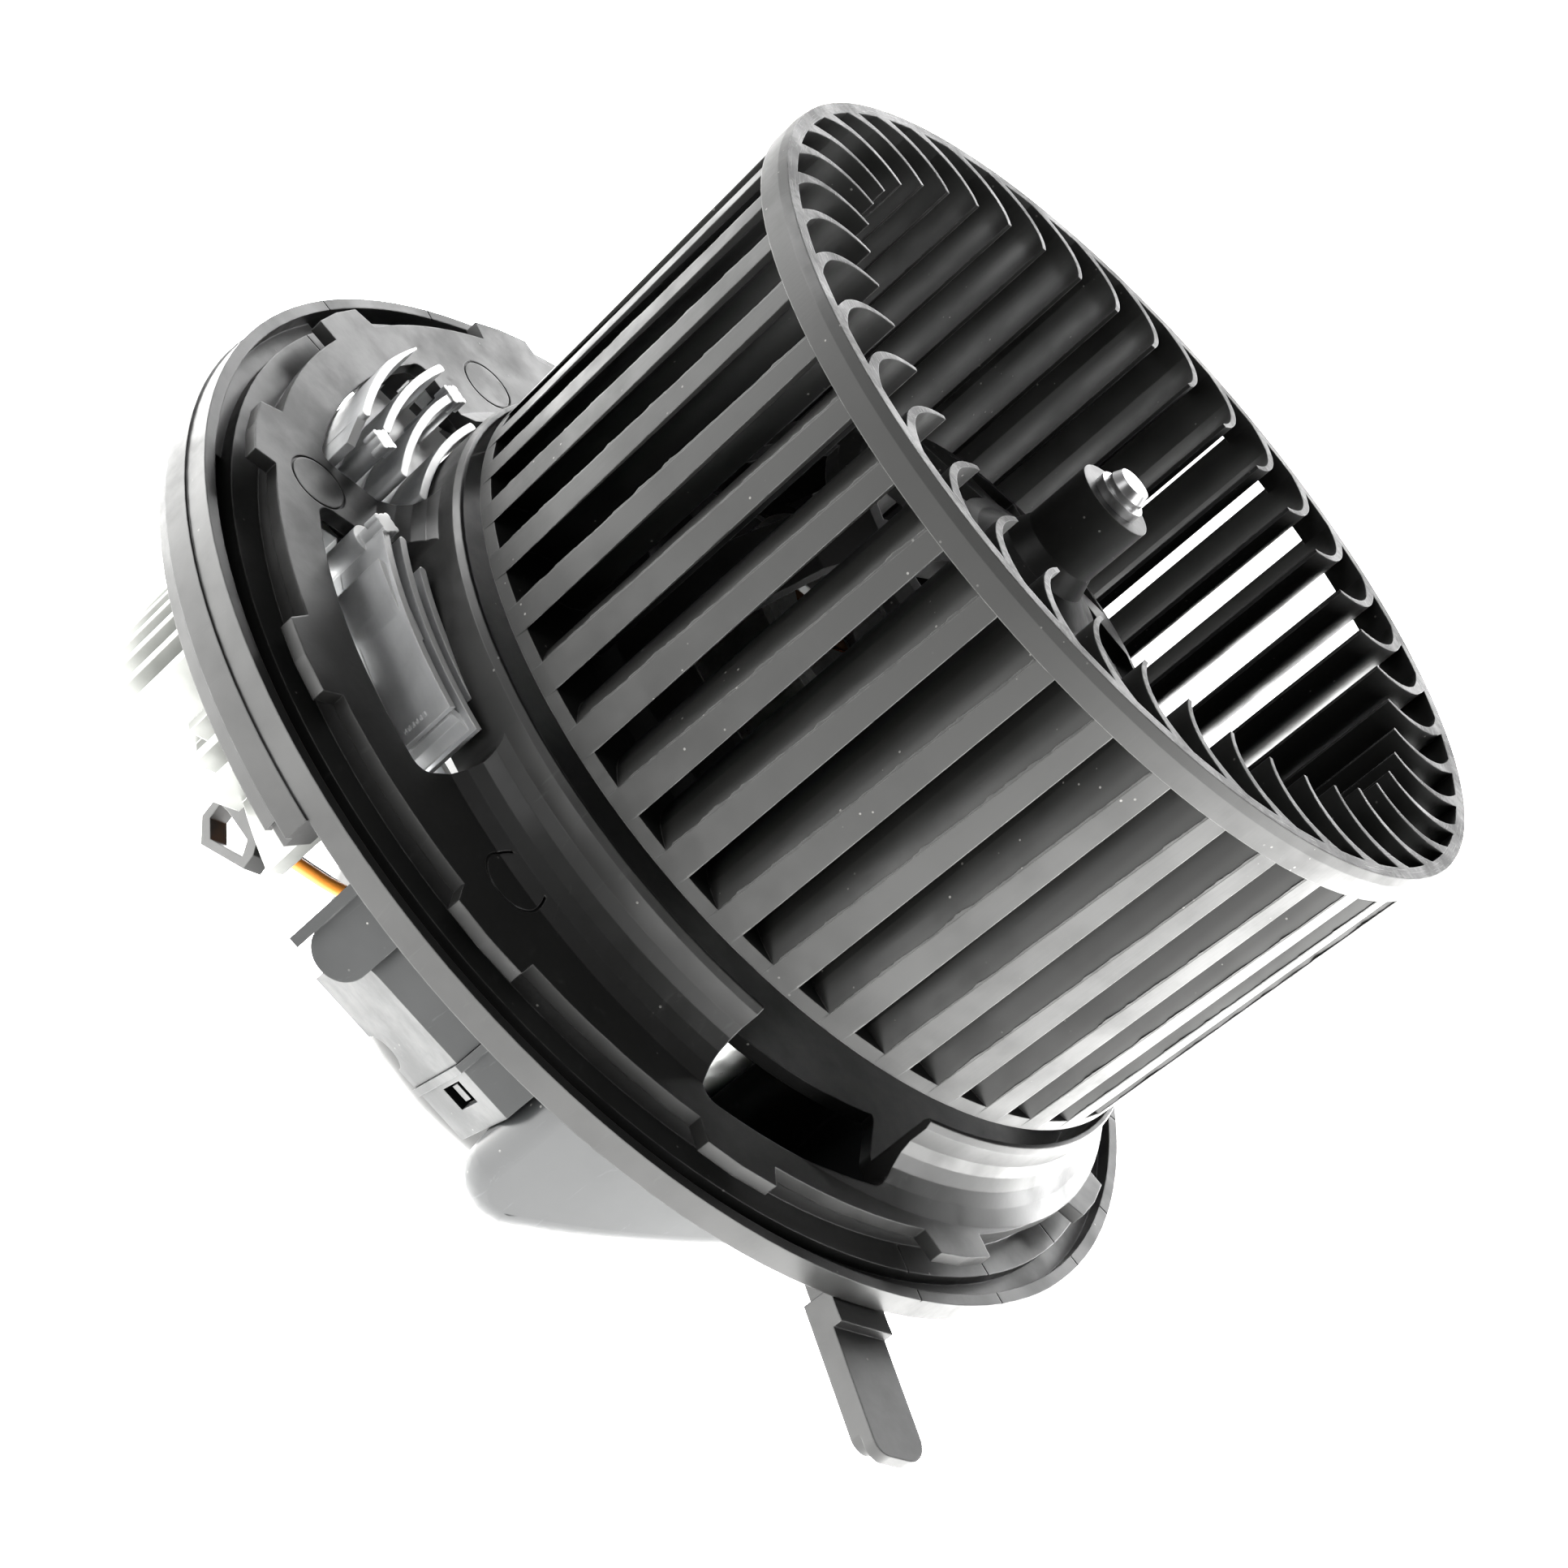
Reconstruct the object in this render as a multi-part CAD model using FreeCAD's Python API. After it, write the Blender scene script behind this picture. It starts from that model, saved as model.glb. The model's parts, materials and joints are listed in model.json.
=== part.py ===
import FreeCAD, Part
import math
import os

# Cabin blower: a forward-curved fan wheel on a brush motor, carried in a round
# plastic flange that plugs into the heater case, with its speed regulator.
# Millimetres. +Z is the wheel's axis direction, wheel up, motor down.
# The origin is the centre of the flange rim, in the plane of the rim's top face.

Vec = FreeCAD.Vector
UP = Vec(0, 0, 1)

# ---------------------------------------------------------------- driving dimensions
WHEEL_X = 10.5          # the wheel axis stands off the rim's centre, away from the heat sink

RIM_R = 101.0           # flange rim, outside
RIM_WALL = 2.0
RIM_STEP_Z = -4.3       # underside of the upper band of the rim wall
RIM_LOW_Z = -8.7
RIM_LIP_Z = -11.6
GROOVE_FLOOR_Z = -9.0   # behind the deep band; elsewhere the groove is shallow
SHALLOW_FLOOR_Z = -2.6
DEEP_SPAN = (100.0, 242.0)
LEDGE_R = 95.75         # ledge inside the groove
LEDGE_Z = -0.3
DECK_R = 91.3
DECK_TOP = 4.8
DECK_THICK = 2.4
LUG_R = 95.3
LUG_COUNT = 12
LUG_FIRST = -11.5       # degrees
LUG_TOP_SPAN = 8.0
LUG_ROOT_SPAN = 11.0

COLLAR_R = 74.2         # bore of the collar round the wheel's foot
COLLAR_TOP = 16.9
COLLAR_WALL = 1.6
COLLAR_FLARE_R = 82.0

CUP_R = 40.2            # motor cup, outside
CUP_WALL = 2.0
CUP_BOTTOM = -60.2
CUP_EDGE = 6.0

WHEEL_R = 76.0
WHEEL_TOP = 89.3
RING_LOW = 84.0
RING_STEP_Z = 87.6
RING_BORE_R = 73.6
FOOT_R = 73.9           # bottom ring of the wheel
FOOT_LOW = 19.9
FOOT_TOP = 22.4
BLADES = 41
BLADE_PHASE = -117.1    # degrees, first blade tip
TUBE_R = 7.0
TUBE_TOP = 84.1

SHAFT_R = 4.0
SHAFT_TIP_R = 2.9
SHAFT_LOW = -52.0
SHAFT_COLLAR_R = 4.4

CAN_R = 34.0            # motor can
CAN_WALL = 2.0
CAN_LOW = -50.0
CAN_TOP = 38.0
MAGNET_R = 31.9
MAGNET_THICK = 5.0
ARMATURE_R = 26.2
FIT_GAP = 0.05          # running clearance of shaft in bearing

LEVER_ANGLE = -52.0     # degrees, direction of the latch lever
LEVER_ROOT = (61.8, -81.1)
LEVER_LENGTH = 24.2
LEVER_WIDTH = 11.7
LEVER_TOP = -6.1
LEVER_THICK = 2.0

SINK_FIN = 1.4          # thickness of the fins
SINK_BASE_Z = (-3.0, 0.0)
SINK_FIN_TOP = 10.6
SINK_ARC_TOP = 10.0
SINK_ARC_RADII = (75.0, 71.6, 68.5)   # long fins of the second window, about the rim's centre
SINK_BOTTOM = -49.0

LEAD_R = 1.15


# ---------------------------------------------------------------- small helpers
def polar(radius, degrees, z=0.0, cx=0.0):
    a = math.radians(degrees)
    return Vec(cx + radius * math.cos(a), radius * math.sin(a), z)


def on_wheel(radius, degrees, z=0.0):
    return polar(radius, degrees, z, WHEEL_X)


def disc(radius, z0, z1, cx=0.0, cy=0.0):
    return Part.makeCylinder(radius, z1 - z0, Vec(cx, cy, z0))


def tube(outer, inner, z0, z1, cx=0.0, cy=0.0):
    return disc(outer, z0, z1, cx, cy).cut(disc(inner, z0 - 1, z1 + 1, cx, cy))


def prism(points, z0, z1):
    wire = Part.makePolygon([Vec(p[0], p[1], z0) for p in points] + [Vec(points[0][0], points[0][1], z0)])
    return Part.Face(wire).extrude(Vec(0, 0, z1 - z0))


def box(x0, x1, y0, y1, z0, z1):
    return Part.makeBox(x1 - x0, y1 - y0, z1 - z0, Vec(x0, y0, z0))


def arc3(a, b, c):
    return Part.Arc(a, b, c).toShape()


def sector(r0, r1, a0, a1, z0, z1, cx=0.0):
    """Piece of a ring between two radii and two angles."""
    am = 0.5 * (a0 + a1)
    outer = arc3(polar(r1, a0, z0, cx), polar(r1, am, z0, cx), polar(r1, a1, z0, cx))
    side1 = Part.LineSegment(polar(r1, a1, z0, cx), polar(r0, a1, z0, cx)).toShape()
    inner = arc3(polar(r0, a1, z0, cx), polar(r0, am, z0, cx), polar(r0, a0, z0, cx))
    side0 = Part.LineSegment(polar(r0, a0, z0, cx), polar(r1, a0, z0, cx)).toShape()
    return Part.Face(Part.Wire([outer, side1, inner, side0])).extrude(Vec(0, 0, z1 - z0))


def revolve(profile, cx=0.0, start=0.0, end=360.0):
    """Turn a closed list of (radius, z) points about the vertical axis at cx."""
    closed = list(profile) + [profile[0]]
    wire = Part.makePolygon([Vec(cx + r, 0, z) for r, z in closed])
    return turned(Part.Face(wire).revolve(Vec(cx, 0, 0), UP, end - start), start, cx)


def fuse(shapes):
    return shapes[0].multiFuse(shapes[1:]).removeSplitter()


def cut(shape, tools):
    return shape.cut(Part.makeCompound(tools))


def turned(shape, degrees, cx=0.0):
    copy = shape.copy()
    copy.rotate(Vec(cx, 0, 0), UP, degrees)
    return copy


def aimed(shape, degrees, origin):
    """Take a shape drawn along +X at the origin, turn it and move it."""
    copy = shape.copy()
    copy.rotate(Vec(0, 0, 0), UP, degrees)
    copy.translate(Vec(origin[0], origin[1], 0))
    return copy


def bar_arc(p0, p1, p2, thick, z0, z1):
    """Plate of even thickness standing on an arc through three (x, y) points."""
    circle = arc3(Vec(p0[0], p0[1], 0), Vec(p1[0], p1[1], 0), Vec(p2[0], p2[1], 0)).Curve
    centre = circle.Center
    radius = circle.Radius
    start = math.degrees(math.atan2(p0[1] - centre.y, p0[0] - centre.x))
    end = math.degrees(math.atan2(p2[1] - centre.y, p2[0] - centre.x))
    sweep = (end - start + 540) % 360 - 180
    plate = sector(radius - thick / 2, radius + thick / 2, start, start + sweep, z0, z1)
    plate.translate(Vec(centre.x, centre.y, 0))
    return plate


def fin(points, z0, z1):
    """Cast fin on an arc through three (x, y) points, round at both ends."""
    ends = [disc(SINK_FIN / 2, z0, z1, x, y) for x, y in (points[0], points[2])]
    return [bar_arc(points[0], points[1], points[2], SINK_FIN, z0, z1)] + ends


def screw(radius, head_radius, head_height, length):
    """Pan-head screw, head up, seat at z = 0, with a hexalobe-like round recess."""
    head = Part.makeCylinder(head_radius, head_height)
    head = head.makeFillet(head_height * 0.4, [head.Edges[0]])
    recess = Part.makeCylinder(head_radius * 0.45, head_height * 0.6, Vec(0, 0, head_height * 0.45))
    shank = Part.makeCylinder(radius, length, Vec(0, 0, -length))
    return head.cut(recess).fuse(shank)


def lead(points, radius, gauge=0.45):
    """Wire along straight runs joined by tangent arcs, as large as the runs allow."""
    pts = [Vec(*p) for p in points]
    edges = []
    last = pts[0]
    radii = []
    for i in range(1, len(pts) - 1):
        back = pts[i - 1] - pts[i]
        ahead = pts[i + 1] - pts[i]
        reach = gauge * min(back.Length, ahead.Length)
        turn = math.pi - back.getAngle(ahead)
        bend = reach / math.tan(turn / 2)
        radii.append(bend)
        back.normalize()
        ahead.normalize()
        start = pts[i] + back * reach
        end = pts[i] + ahead * reach
        bisector = back + ahead
        bisector.normalize()
        middle = pts[i] + bisector * (bend / math.cos(turn / 2) - bend)
        edges.append(Part.LineSegment(last, start).toShape())
        edges.append(Part.Arc(start, middle, end).toShape())
        last = end
    edges.append(Part.LineSegment(last, pts[-1]).toShape())
    path = Part.Wire(edges)
    first = pts[1] - pts[0]
    section = Part.Wire([Part.makeCircle(radius, pts[0], first)])
    solid = path.makePipeShell([section], True, False)
    print("lead length %.1f, radii %s, volume ratio %.3f" % (
        path.Length, ["%.1f" % r for r in radii], solid.Volume / (math.pi * radius ** 2 * path.Length)))
    return solid


# ---------------------------------------------------------------- flange
WINDOW_OUTER_R = 83.2
WINDOW_A = (161.9, 194.2)       # about the wheel axis
WINDOW_B = (201.8, 235.4)
INLET_R = 86.2
INLET_SIDES = ((17.0, -58.0), (18.8, -78.0), (21.5, -90.0), (62.0, -80.0), (50.0, -62.0), (48.5, -50.0))
RIM_SEAMS = (11.5, -5.1, -17.3, -34.5, -47.2, 163.1, 145.2)   # joints of the mould's slides, degrees
LEDGE_SEAMS = (-18.0, -33.7, -47.0, 170.5)
BOLT_ANGLES = (35.0, 150.0, 252.0)
BOLT_R = 46.5
SINK_SCREW_R = 84.8
SINK_SCREW_ANGLES = (159.5, 197.4)


def lug(angle):
    """Bayonet lug: one flank slopes, the other is nearly radial."""
    half_top = LUG_TOP_SPAN / 2
    points = [polar(DECK_R - 1.5, angle - LUG_ROOT_SPAN / 2), polar(LUG_R, angle - half_top),
              polar(LUG_R + 0.25, angle), polar(LUG_R, angle + half_top),
              polar(DECK_R - 1.5, angle + half_top + 0.3)]
    return prism(points, DECK_TOP - DECK_THICK, DECK_TOP)


def deck_windows():
    """The two heat-sink windows, as tall cutters."""
    cutters = []
    for a0, a1 in (WINDOW_A, WINDOW_B):
        ring = sector(75.8, 100.0, a0, a1, -20, 40, WHEEL_X)
        window = ring.common(disc(WINDOW_OUTER_R, -20, 40))
        corners = [e for e in window.Edges if e.BoundBox.ZLength > 50]
        cutters.append(window.makeFillet(2.6, corners))
    return cutters


def window_shelves():
    """Dark floors of the two heat-sink windows, hung from the deck."""
    z0, z1 = -2.0, -0.8
    shelves = [sector(inner, 84.8, a0, a1, z0, z1) for inner, a0, a1 in
               ((78.4, 203.4, 212.6), (77.4, 212.5, 226.6), (76.1, 226.5, 237.6))]
    curtain = sector(WINDOW_OUTER_R + 0.1, 84.8, 203.4, 237.6, z0, DECK_TOP - DECK_THICK + 0.2)
    far_floor = sector(66.0, LEDGE_R - 1.5, 146.0, 161.5, -7.2, -5.8)
    near_floor = sector(66.0, LEDGE_R - 1.5, 237.9, 244.0, -7.2, -5.8)
    return shelves + [curtain, far_floor, near_floor]


def inlet_cutter():
    """Cooling-air inlet through the deck and the collar's foot."""
    opening = prism(INLET_SIDES, -60, 26).common(disc(INLET_R, -60, 26))
    corners = [e for e in opening.Edges if e.BoundBox.ZLength > 80]
    opening = opening.makeFillet(3.0, corners)
    return opening.cut(disc(64.0, -70, 40, WHEEL_X))


def mounting_flange():
    a0, a1 = DEEP_SPAN
    rim = tube(RIM_R, RIM_R - RIM_WALL, RIM_STEP_Z, 0)
    band = revolve([(RIM_R - RIM_WALL, RIM_STEP_Z), (RIM_R + 0.35, RIM_STEP_Z), (RIM_R + 0.6, RIM_LOW_Z),
                    (RIM_R - RIM_WALL, RIM_LOW_Z)], 0, a0, a1)
    lip = revolve([(RIM_R - RIM_WALL, RIM_LOW_Z + 0.5), (RIM_R - 0.3, RIM_LOW_Z + 0.5), (RIM_R - 0.6, RIM_LIP_Z),
                   (RIM_R - RIM_WALL, RIM_LIP_Z)], 0, a0 + 3, a1 - 2)
    deep_floor = sector(LEDGE_R - 2.0, RIM_R - 1, a0, a1, GROOVE_FLOOR_Z - 1.6, GROOVE_FLOOR_Z)
    deep_wall = sector(LEDGE_R - 2.0, LEDGE_R, a0, a1, GROOVE_FLOOR_Z - 1.6, LEDGE_Z)
    ends = [sector(LEDGE_R - 2.0, RIM_R - 1, a - 0.5, a + 0.5, GROOVE_FLOOR_Z - 1.6, SHALLOW_FLOOR_Z)
            for a in (a0 + 0.5, a1 - 0.5)]
    floor = sector(LEDGE_R - 2.2, RIM_R - 1, a1 - 1, a0 + 361, RIM_STEP_Z, SHALLOW_FLOOR_Z)
    ledge_wall = tube(LEDGE_R, LEDGE_R - 2.0, RIM_STEP_Z, LEDGE_Z)
    ledge = tube(LEDGE_R, DECK_R - 2.4, LEDGE_Z - 2.0, LEDGE_Z)
    spigot = tube(DECK_R - 0.6, DECK_R - 2.6, LEDGE_Z - 2.0, DECK_TOP - DECK_THICK / 2)
    deck = disc(DECK_R, DECK_TOP - DECK_THICK, DECK_TOP)
    collar = revolve([(COLLAR_R, DECK_TOP - DECK_THICK), (COLLAR_R, COLLAR_TOP - 1.0),
                      (COLLAR_R + 0.4, COLLAR_TOP), (COLLAR_R + 1.1, COLLAR_TOP),
                      (COLLAR_R + COLLAR_WALL, COLLAR_TOP - 1.2), (COLLAR_R + COLLAR_WALL, 12.4),
                      (COLLAR_R + 2.2, 10.2), (COLLAR_R + 3.4, 8.0), (COLLAR_R + 5.2, 6.2),
                      (COLLAR_FLARE_R, DECK_TOP), (COLLAR_FLARE_R, DECK_TOP - DECK_THICK)], WHEEL_X)
    socket = tube(CUP_R + 2.4, CUP_R - 2.2, -8.0, DECK_TOP, WHEEL_X)
    bosses = [disc(4.0, -8.0, DECK_TOP - 0.5, on_wheel(BOLT_R, a).x, on_wheel(BOLT_R, a).y)
              for a in BOLT_ANGLES]
    lugs = [lug(LUG_FIRST + i * 360.0 / LUG_COUNT) for i in range(LUG_COUNT)]
    rise = sector(LEDGE_R - 0.5, RIM_R - 1, 165, 199, GROOVE_FLOOR_Z - 1.6, SHALLOW_FLOOR_Z - 0.6)
    sink_bosses = [disc(3.4, SINK_BASE_Z[1], DECK_TOP - 0.5,
                        on_wheel(SINK_SCREW_R, a).x, on_wheel(SINK_SCREW_R, a).y)
                   for a in SINK_SCREW_ANGLES]
    root = aimed(box(-7.4, -3.3, -4.5, 4.5, -9.4, RIM_STEP_Z), LEVER_ANGLE, LEVER_ROOT)
    body = fuse([rim, band, lip, deep_floor, deep_wall, floor, ledge_wall, ledge, spigot, deck, collar,
                 socket, rise, root] + ends + bosses + sink_bosses + lugs)
    body = cut(body, deck_windows())
    body = fuse([body] + window_shelves())
    bore = disc(CUP_R - 2.2, -20, 30, WHEEL_X)
    cup_seat = disc(CUP_R + 0.1, -20, -1.0, WHEEL_X)
    holes = [disc(1.27, -12.0, 3.0, on_wheel(BOLT_R, a).x, on_wheel(BOLT_R, a).y) for a in BOLT_ANGLES]
    holes += [disc(1.32, -12.0, 3.0, on_wheel(SINK_SCREW_R, a).x, on_wheel(SINK_SCREW_R, a).y)
              for a in SINK_SCREW_ANGLES]
    marks = [disc(5.3, DECK_TOP - 0.25, DECK_TOP + 1, x, y).cut(disc(4.9, -1, 9, x, y))
             for x, y in ((-67.1, 42.2), (-77.6, -29.9), (-19.8, -77.4), (66.0, 48.0))]
    seams = [turned(box(RIM_R - RIM_WALL - 0.5, RIM_R + 1, -0.14, 0.14, -0.3, 1), a) for a in RIM_SEAMS]
    seams += [turned(box(DECK_R - 0.3, LEDGE_R + 0.5, -0.14, 0.14, LEDGE_Z - 0.3, LEDGE_Z + 1), a)
              for a in LEDGE_SEAMS]
    return cut(body, [inlet_cutter(), bore, cup_seat] + holes + marks + seams)


# ---------------------------------------------------------------- latch lever
def latch_lever():
    """Springy finger tab that stands out of the rim and keeps the flange from turning back."""
    half = LEVER_WIDTH / 2
    top = LEVER_TOP
    end = LEVER_LENGTH
    plate = box(-3.0, end, -half, half, top - LEVER_THICK, top)
    near = [e for e in plate.Edges if e.BoundBox.ZLength > 1 and e.BoundBox.XMin > end - 0.1]
    plate = plate.makeFillet(2.6, [e for e in near if e.BoundBox.YMin < 0])
    right = [e for e in plate.Edges if e.BoundBox.ZLength > 1 and e.BoundBox.XMin > end - 0.1
             and e.BoundBox.YMin > half - 0.1]
    plate = plate.makeFillet(5.0, right)
    rib = box(-3.0, end - 4.4, -half, -half + 1.8, top - 3.8, top - LEVER_THICK)
    rib_end = disc(2.4, top - 3.8, top - LEVER_THICK, end - 4.6, -half + 2.4)
    far_rib = box(-3.0, end - 8.0, half - 1.6, half, top - 3.4, top - LEVER_THICK)
    outline = [Vec(-3.0, 0, top - 0.5), Vec(-3.0, 0, RIM_STEP_Z - 0.2), Vec(0.4, 0, RIM_STEP_Z - 0.2),
               Vec(2.8, 0, top + 1.7), Vec(2.8, 0, top - 0.5), Vec(-3.0, 0, top - 0.5)]
    wedge = Part.Face(Part.makePolygon(outline)).extrude(Vec(0, LEVER_WIDTH, 0))
    wedge.translate(Vec(0, -half, 0))
    body = fuse([plate, rib, rib_end, far_rib, wedge])
    return aimed(body, LEVER_ANGLE, LEVER_ROOT)


# ---------------------------------------------------------------- heat sink
FIN_ARCS = (
    ((-79.6, -12.6), (-81.8, 4.2), (-81.0, 18.4), SINK_FIN_TOP),
    ((-75.5, -11.6), (-76.9, 5.2), (-75.4, 20.2), SINK_FIN_TOP),
    ((-69.1, -18.4), (-71.7, -3.5), (-70.9, 15.6), SINK_FIN_TOP),
    ((-64.5, -17.4), (-66.5, -2.4), (-65.3, 14.6), SINK_FIN_TOP - 1.0))
PORTS = ((-74.8, -15.0, SINK_FIN_TOP + 0.2), (-70.9, 16.2, SINK_FIN_TOP + 0.2),
         (-66.4, -34.5, SINK_ARC_TOP + 0.3))
ARC_SPANS = ((207.5, 235.6), (208.6, 238.6), (212.6, 239.6))


def sink_port(x, y, top):
    """Filling port: a round post with a four-lobed top."""
    lobes = [disc(0.65, top - 2.5, top,
                  x + 1.7 * math.cos(math.radians(a)), y + 1.7 * math.sin(math.radians(a)))
             for a in (20, 110, 200, 290)]
    return [disc(1.75, SINK_BASE_Z[0], top, x, y)] + lobes


def sink_upper():
    """What stands up through the deck's windows."""
    z0 = SINK_BASE_Z[0]
    parts = []
    for p0, p1, p2, top in FIN_ARCS:
        parts += fin((p0, p1, p2), z0, top)
    low_wall = bar_arc((-77.9, -18.3), (-78.8, -15.2), (-79.6, -12.2), 1.5, z0, SINK_FIN_TOP)
    slope = prism([(-3, 6.2), (6.6, 9.8), (6.6, 20), (-3, 20)], -5, 5)
    slope.rotate(Vec(0, 0, 0), Vec(1, 0, 0), 90)
    slope = aimed(slope, 90, (-79, -19.0))
    parts.append(low_wall.cut(slope))
    for x, y, top in PORTS:
        parts += sink_port(x, y, top)
    parts.append(disc(2.9, z0, SINK_ARC_TOP - 4.0, PORTS[2][0], PORTS[2][1]))
    for radius, (a0, a1) in zip(SINK_ARC_RADII, ARC_SPANS):
        parts.append(sector(radius - 0.65, radius + 0.65, a0, a1, z0, SINK_ARC_TOP))
        parts.append(disc(0.65, z0, SINK_ARC_TOP, polar(radius, a0).x, polar(radius, a0).y))
    block = [(-64.0, -42.9), (-58.8, -48.4), (-52.7, -53.4), (-51.6, -53.2), (-51.4, -51.4), (-61.6, -42.0)]
    parts.append(prism(block, z0, SINK_ARC_TOP - 0.8))
    cross = [(-43.6, -60.2), (-41.6, -61.4), (-40.2, -61.0), (-38.3, -61.4), (-37.6, -60.6), (-40.0, -59.6),
             (-41.8, -59.8), (-43.4, -58.8)]
    parts.append(prism(cross, z0, SINK_ARC_TOP - 1.2))
    for k in range(6):
        tooth = polar(SINK_ARC_RADII[0] + 0.55, 234.2)
        parts.append(disc(0.4, 1.2 + k * 0.85, 1.65 + k * 0.85, tooth.x, tooth.y))
    return parts


def sink_base():
    """Base plate under the deck, open outside the second window's long fins and at the first one's far end."""
    z0, z1 = SINK_BASE_Z
    plate = sector(76.6, 93.2, WINDOW_A[0] - 5, WINDOW_B[1] - 6.0, z0, z1, WHEEL_X)
    outside = sector(75.7, 100.0, 203.0, 240.0, z0 - 1, z1 + 1)
    gaps = [box(-79.8, -77.0, 20.2, 31.0, z0 - 1, z1 + 1), box(-74.2, -72.1, 23.0, 33.0, z0 - 1, z1 + 1),
            box(-68.0, -65.0, 25.0, 36.0, z0 - 1, z1 + 1)]
    return cut(plate, [outside] + gaps)


def sink_ribs():
    """Cooling ribs below the base, on a curved wall."""
    z0 = SINK_BASE_Z[0]
    parts = [sector(76.6, 80.0, WINDOW_A[0] + 4, 207, SINK_BOTTOM + 8, z0, WHEEL_X),
             sector(76.6, 80.0, 206.5, WINDOW_B[1] - 7, SINK_BOTTOM + 16, z0, WHEEL_X)]
    for i in range(12):
        angle = 167.5 + i * 4.6
        long_rib = angle < 206
        tip_r = 92.4 if long_rib else 86.5
        bottom = SINK_BOTTOM - 4.0 + 0.12 * i * i if long_rib else SINK_BOTTOM + 14
        half = math.degrees(0.9 / tip_r)
        parts.append(sector(79.0, tip_r, angle - half, angle + half, bottom, z0 + 0.5, WHEEL_X))
    return parts


def heat_sink():
    """Die-cast sink: arc fins stand up through the deck windows, ribs hang below."""
    body = fuse([sink_base()] + sink_upper() + sink_ribs())
    through = [window.common(disc(WINDOW_OUTER_R - 0.4, -20, 40)) for window in deck_windows()]
    keep = disc(RIM_R - 7.6, SINK_BOTTOM - 9, SINK_BASE_Z[1]).fuse(through[0]).fuse(through[1])
    holes = [disc(1.36, -20, 1.0, on_wheel(SINK_SCREW_R, a).x, on_wheel(SINK_SCREW_R, a).y)
             for a in SINK_SCREW_ANGLES]
    return cut(body.common(keep), holes)


# ---------------------------------------------------------------- ducts and housings below the deck
DUCT_R = 82.0
DUCT_MOUTH_R = 88.2
DUCT_LEFT = 16.8                # distance of the duct's left wall from the housing's middle plane
DUCT_END = -44.0
HOUSING_ANGLE = -98.0           # direction of the housing's middle plane
HOUSING_R = 80.0


def duct_body(inset, top):
    """Duct envelope: a slice of a ring whose floor ramps up to the right."""
    outline = [(34.0, top), (DUCT_MOUTH_R - inset, top), (DUCT_MOUTH_R - inset, -2.5 + inset * 0.4),
               (DUCT_R - inset, -9.0 + inset * 0.4), (DUCT_R - inset, -60.0), (34.0, -60.0)]
    wire = Part.makePolygon([Vec(r, 0, z) for r, z in outline + [outline[0]]])
    span = 46.0 - inset * 0.7
    ring = Part.Face(wire).revolve(Vec(0, 0, 0), UP, span)
    ring.rotate(Vec(0, 0, 0), UP, DUCT_END - 46.0)
    left = DUCT_LEFT + inset
    low = -39.6 + inset
    points = [Vec(30, left, top + 1), Vec(30, left, low + 8.0), Vec(30, left + 2.3, low + 2.3),
              Vec(30, left + 8.0, low), Vec(30, left + 10.5, low + 0.2), Vec(30, 66.0, -13.0 + inset),
              Vec(30, 80.0, -13.0 + inset), Vec(30, 80.0, top + 1)]
    edges = [Part.LineSegment(points[0], points[1]).toShape(), arc3(points[1], points[2], points[3])]
    edges += [Part.LineSegment(a, b).toShape() for a, b in zip(points[3:], points[4:] + points[:1])]
    side = aimed(Part.Face(Part.Wire(edges)).extrude(Vec(70, 0, 0)), HOUSING_ANGLE, (0, 0))
    return ring.common(side)


def cooling_duct():
    """Scoop that leads air from the inlet in the deck into the motor cup."""
    outer = duct_body(0.0, DECK_TOP - DECK_THICK - 0.1)
    rounded = [e for e in outer.Edges if e.BoundBox.ZMax < -11.0 and e.Length > 6.0
               and all(abs(math.hypot(v.X, v.Y) - DUCT_R) < 0.05 for v in e.Vertexes)]
    outer = outer.makeFillet(4.5, rounded)
    inner = duct_body(2.0, DECK_TOP + 4)
    clear = disc(CUP_R + 0.2, -80, 20, WHEEL_X)
    socket = disc(CUP_R + 2.6, -8.2, 20, WHEEL_X)
    return outer.cut(Part.makeCompound([inner, clear, socket]))


def housing_block(inset, left, right, foot=45.5):
    """Length of the regulator housing between two distances from its middle plane."""
    outline = [(54.0 + inset, -2.0), (HOUSING_R - inset, -2.0), (HOUSING_R - inset, -22.0 + inset * 0.4),
               (58.5 - inset * 0.4, -43.5 + inset), (foot + inset, -43.5 + inset), (foot + inset, -16.0 - inset),
               (54.0 + inset, -16.0 - inset)]
    wire = Part.makePolygon([Vec(r, left, z) for r, z in outline + [outline[0]]])
    return aimed(Part.Face(wire).extrude(Vec(0, right - left, 0)), HOUSING_ANGLE, (0, 0))


def duct_clearance():
    return aimed(box(20, 95, DUCT_LEFT - 0.25, 60, -60, 10), HOUSING_ANGLE, (0, 0))


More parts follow.
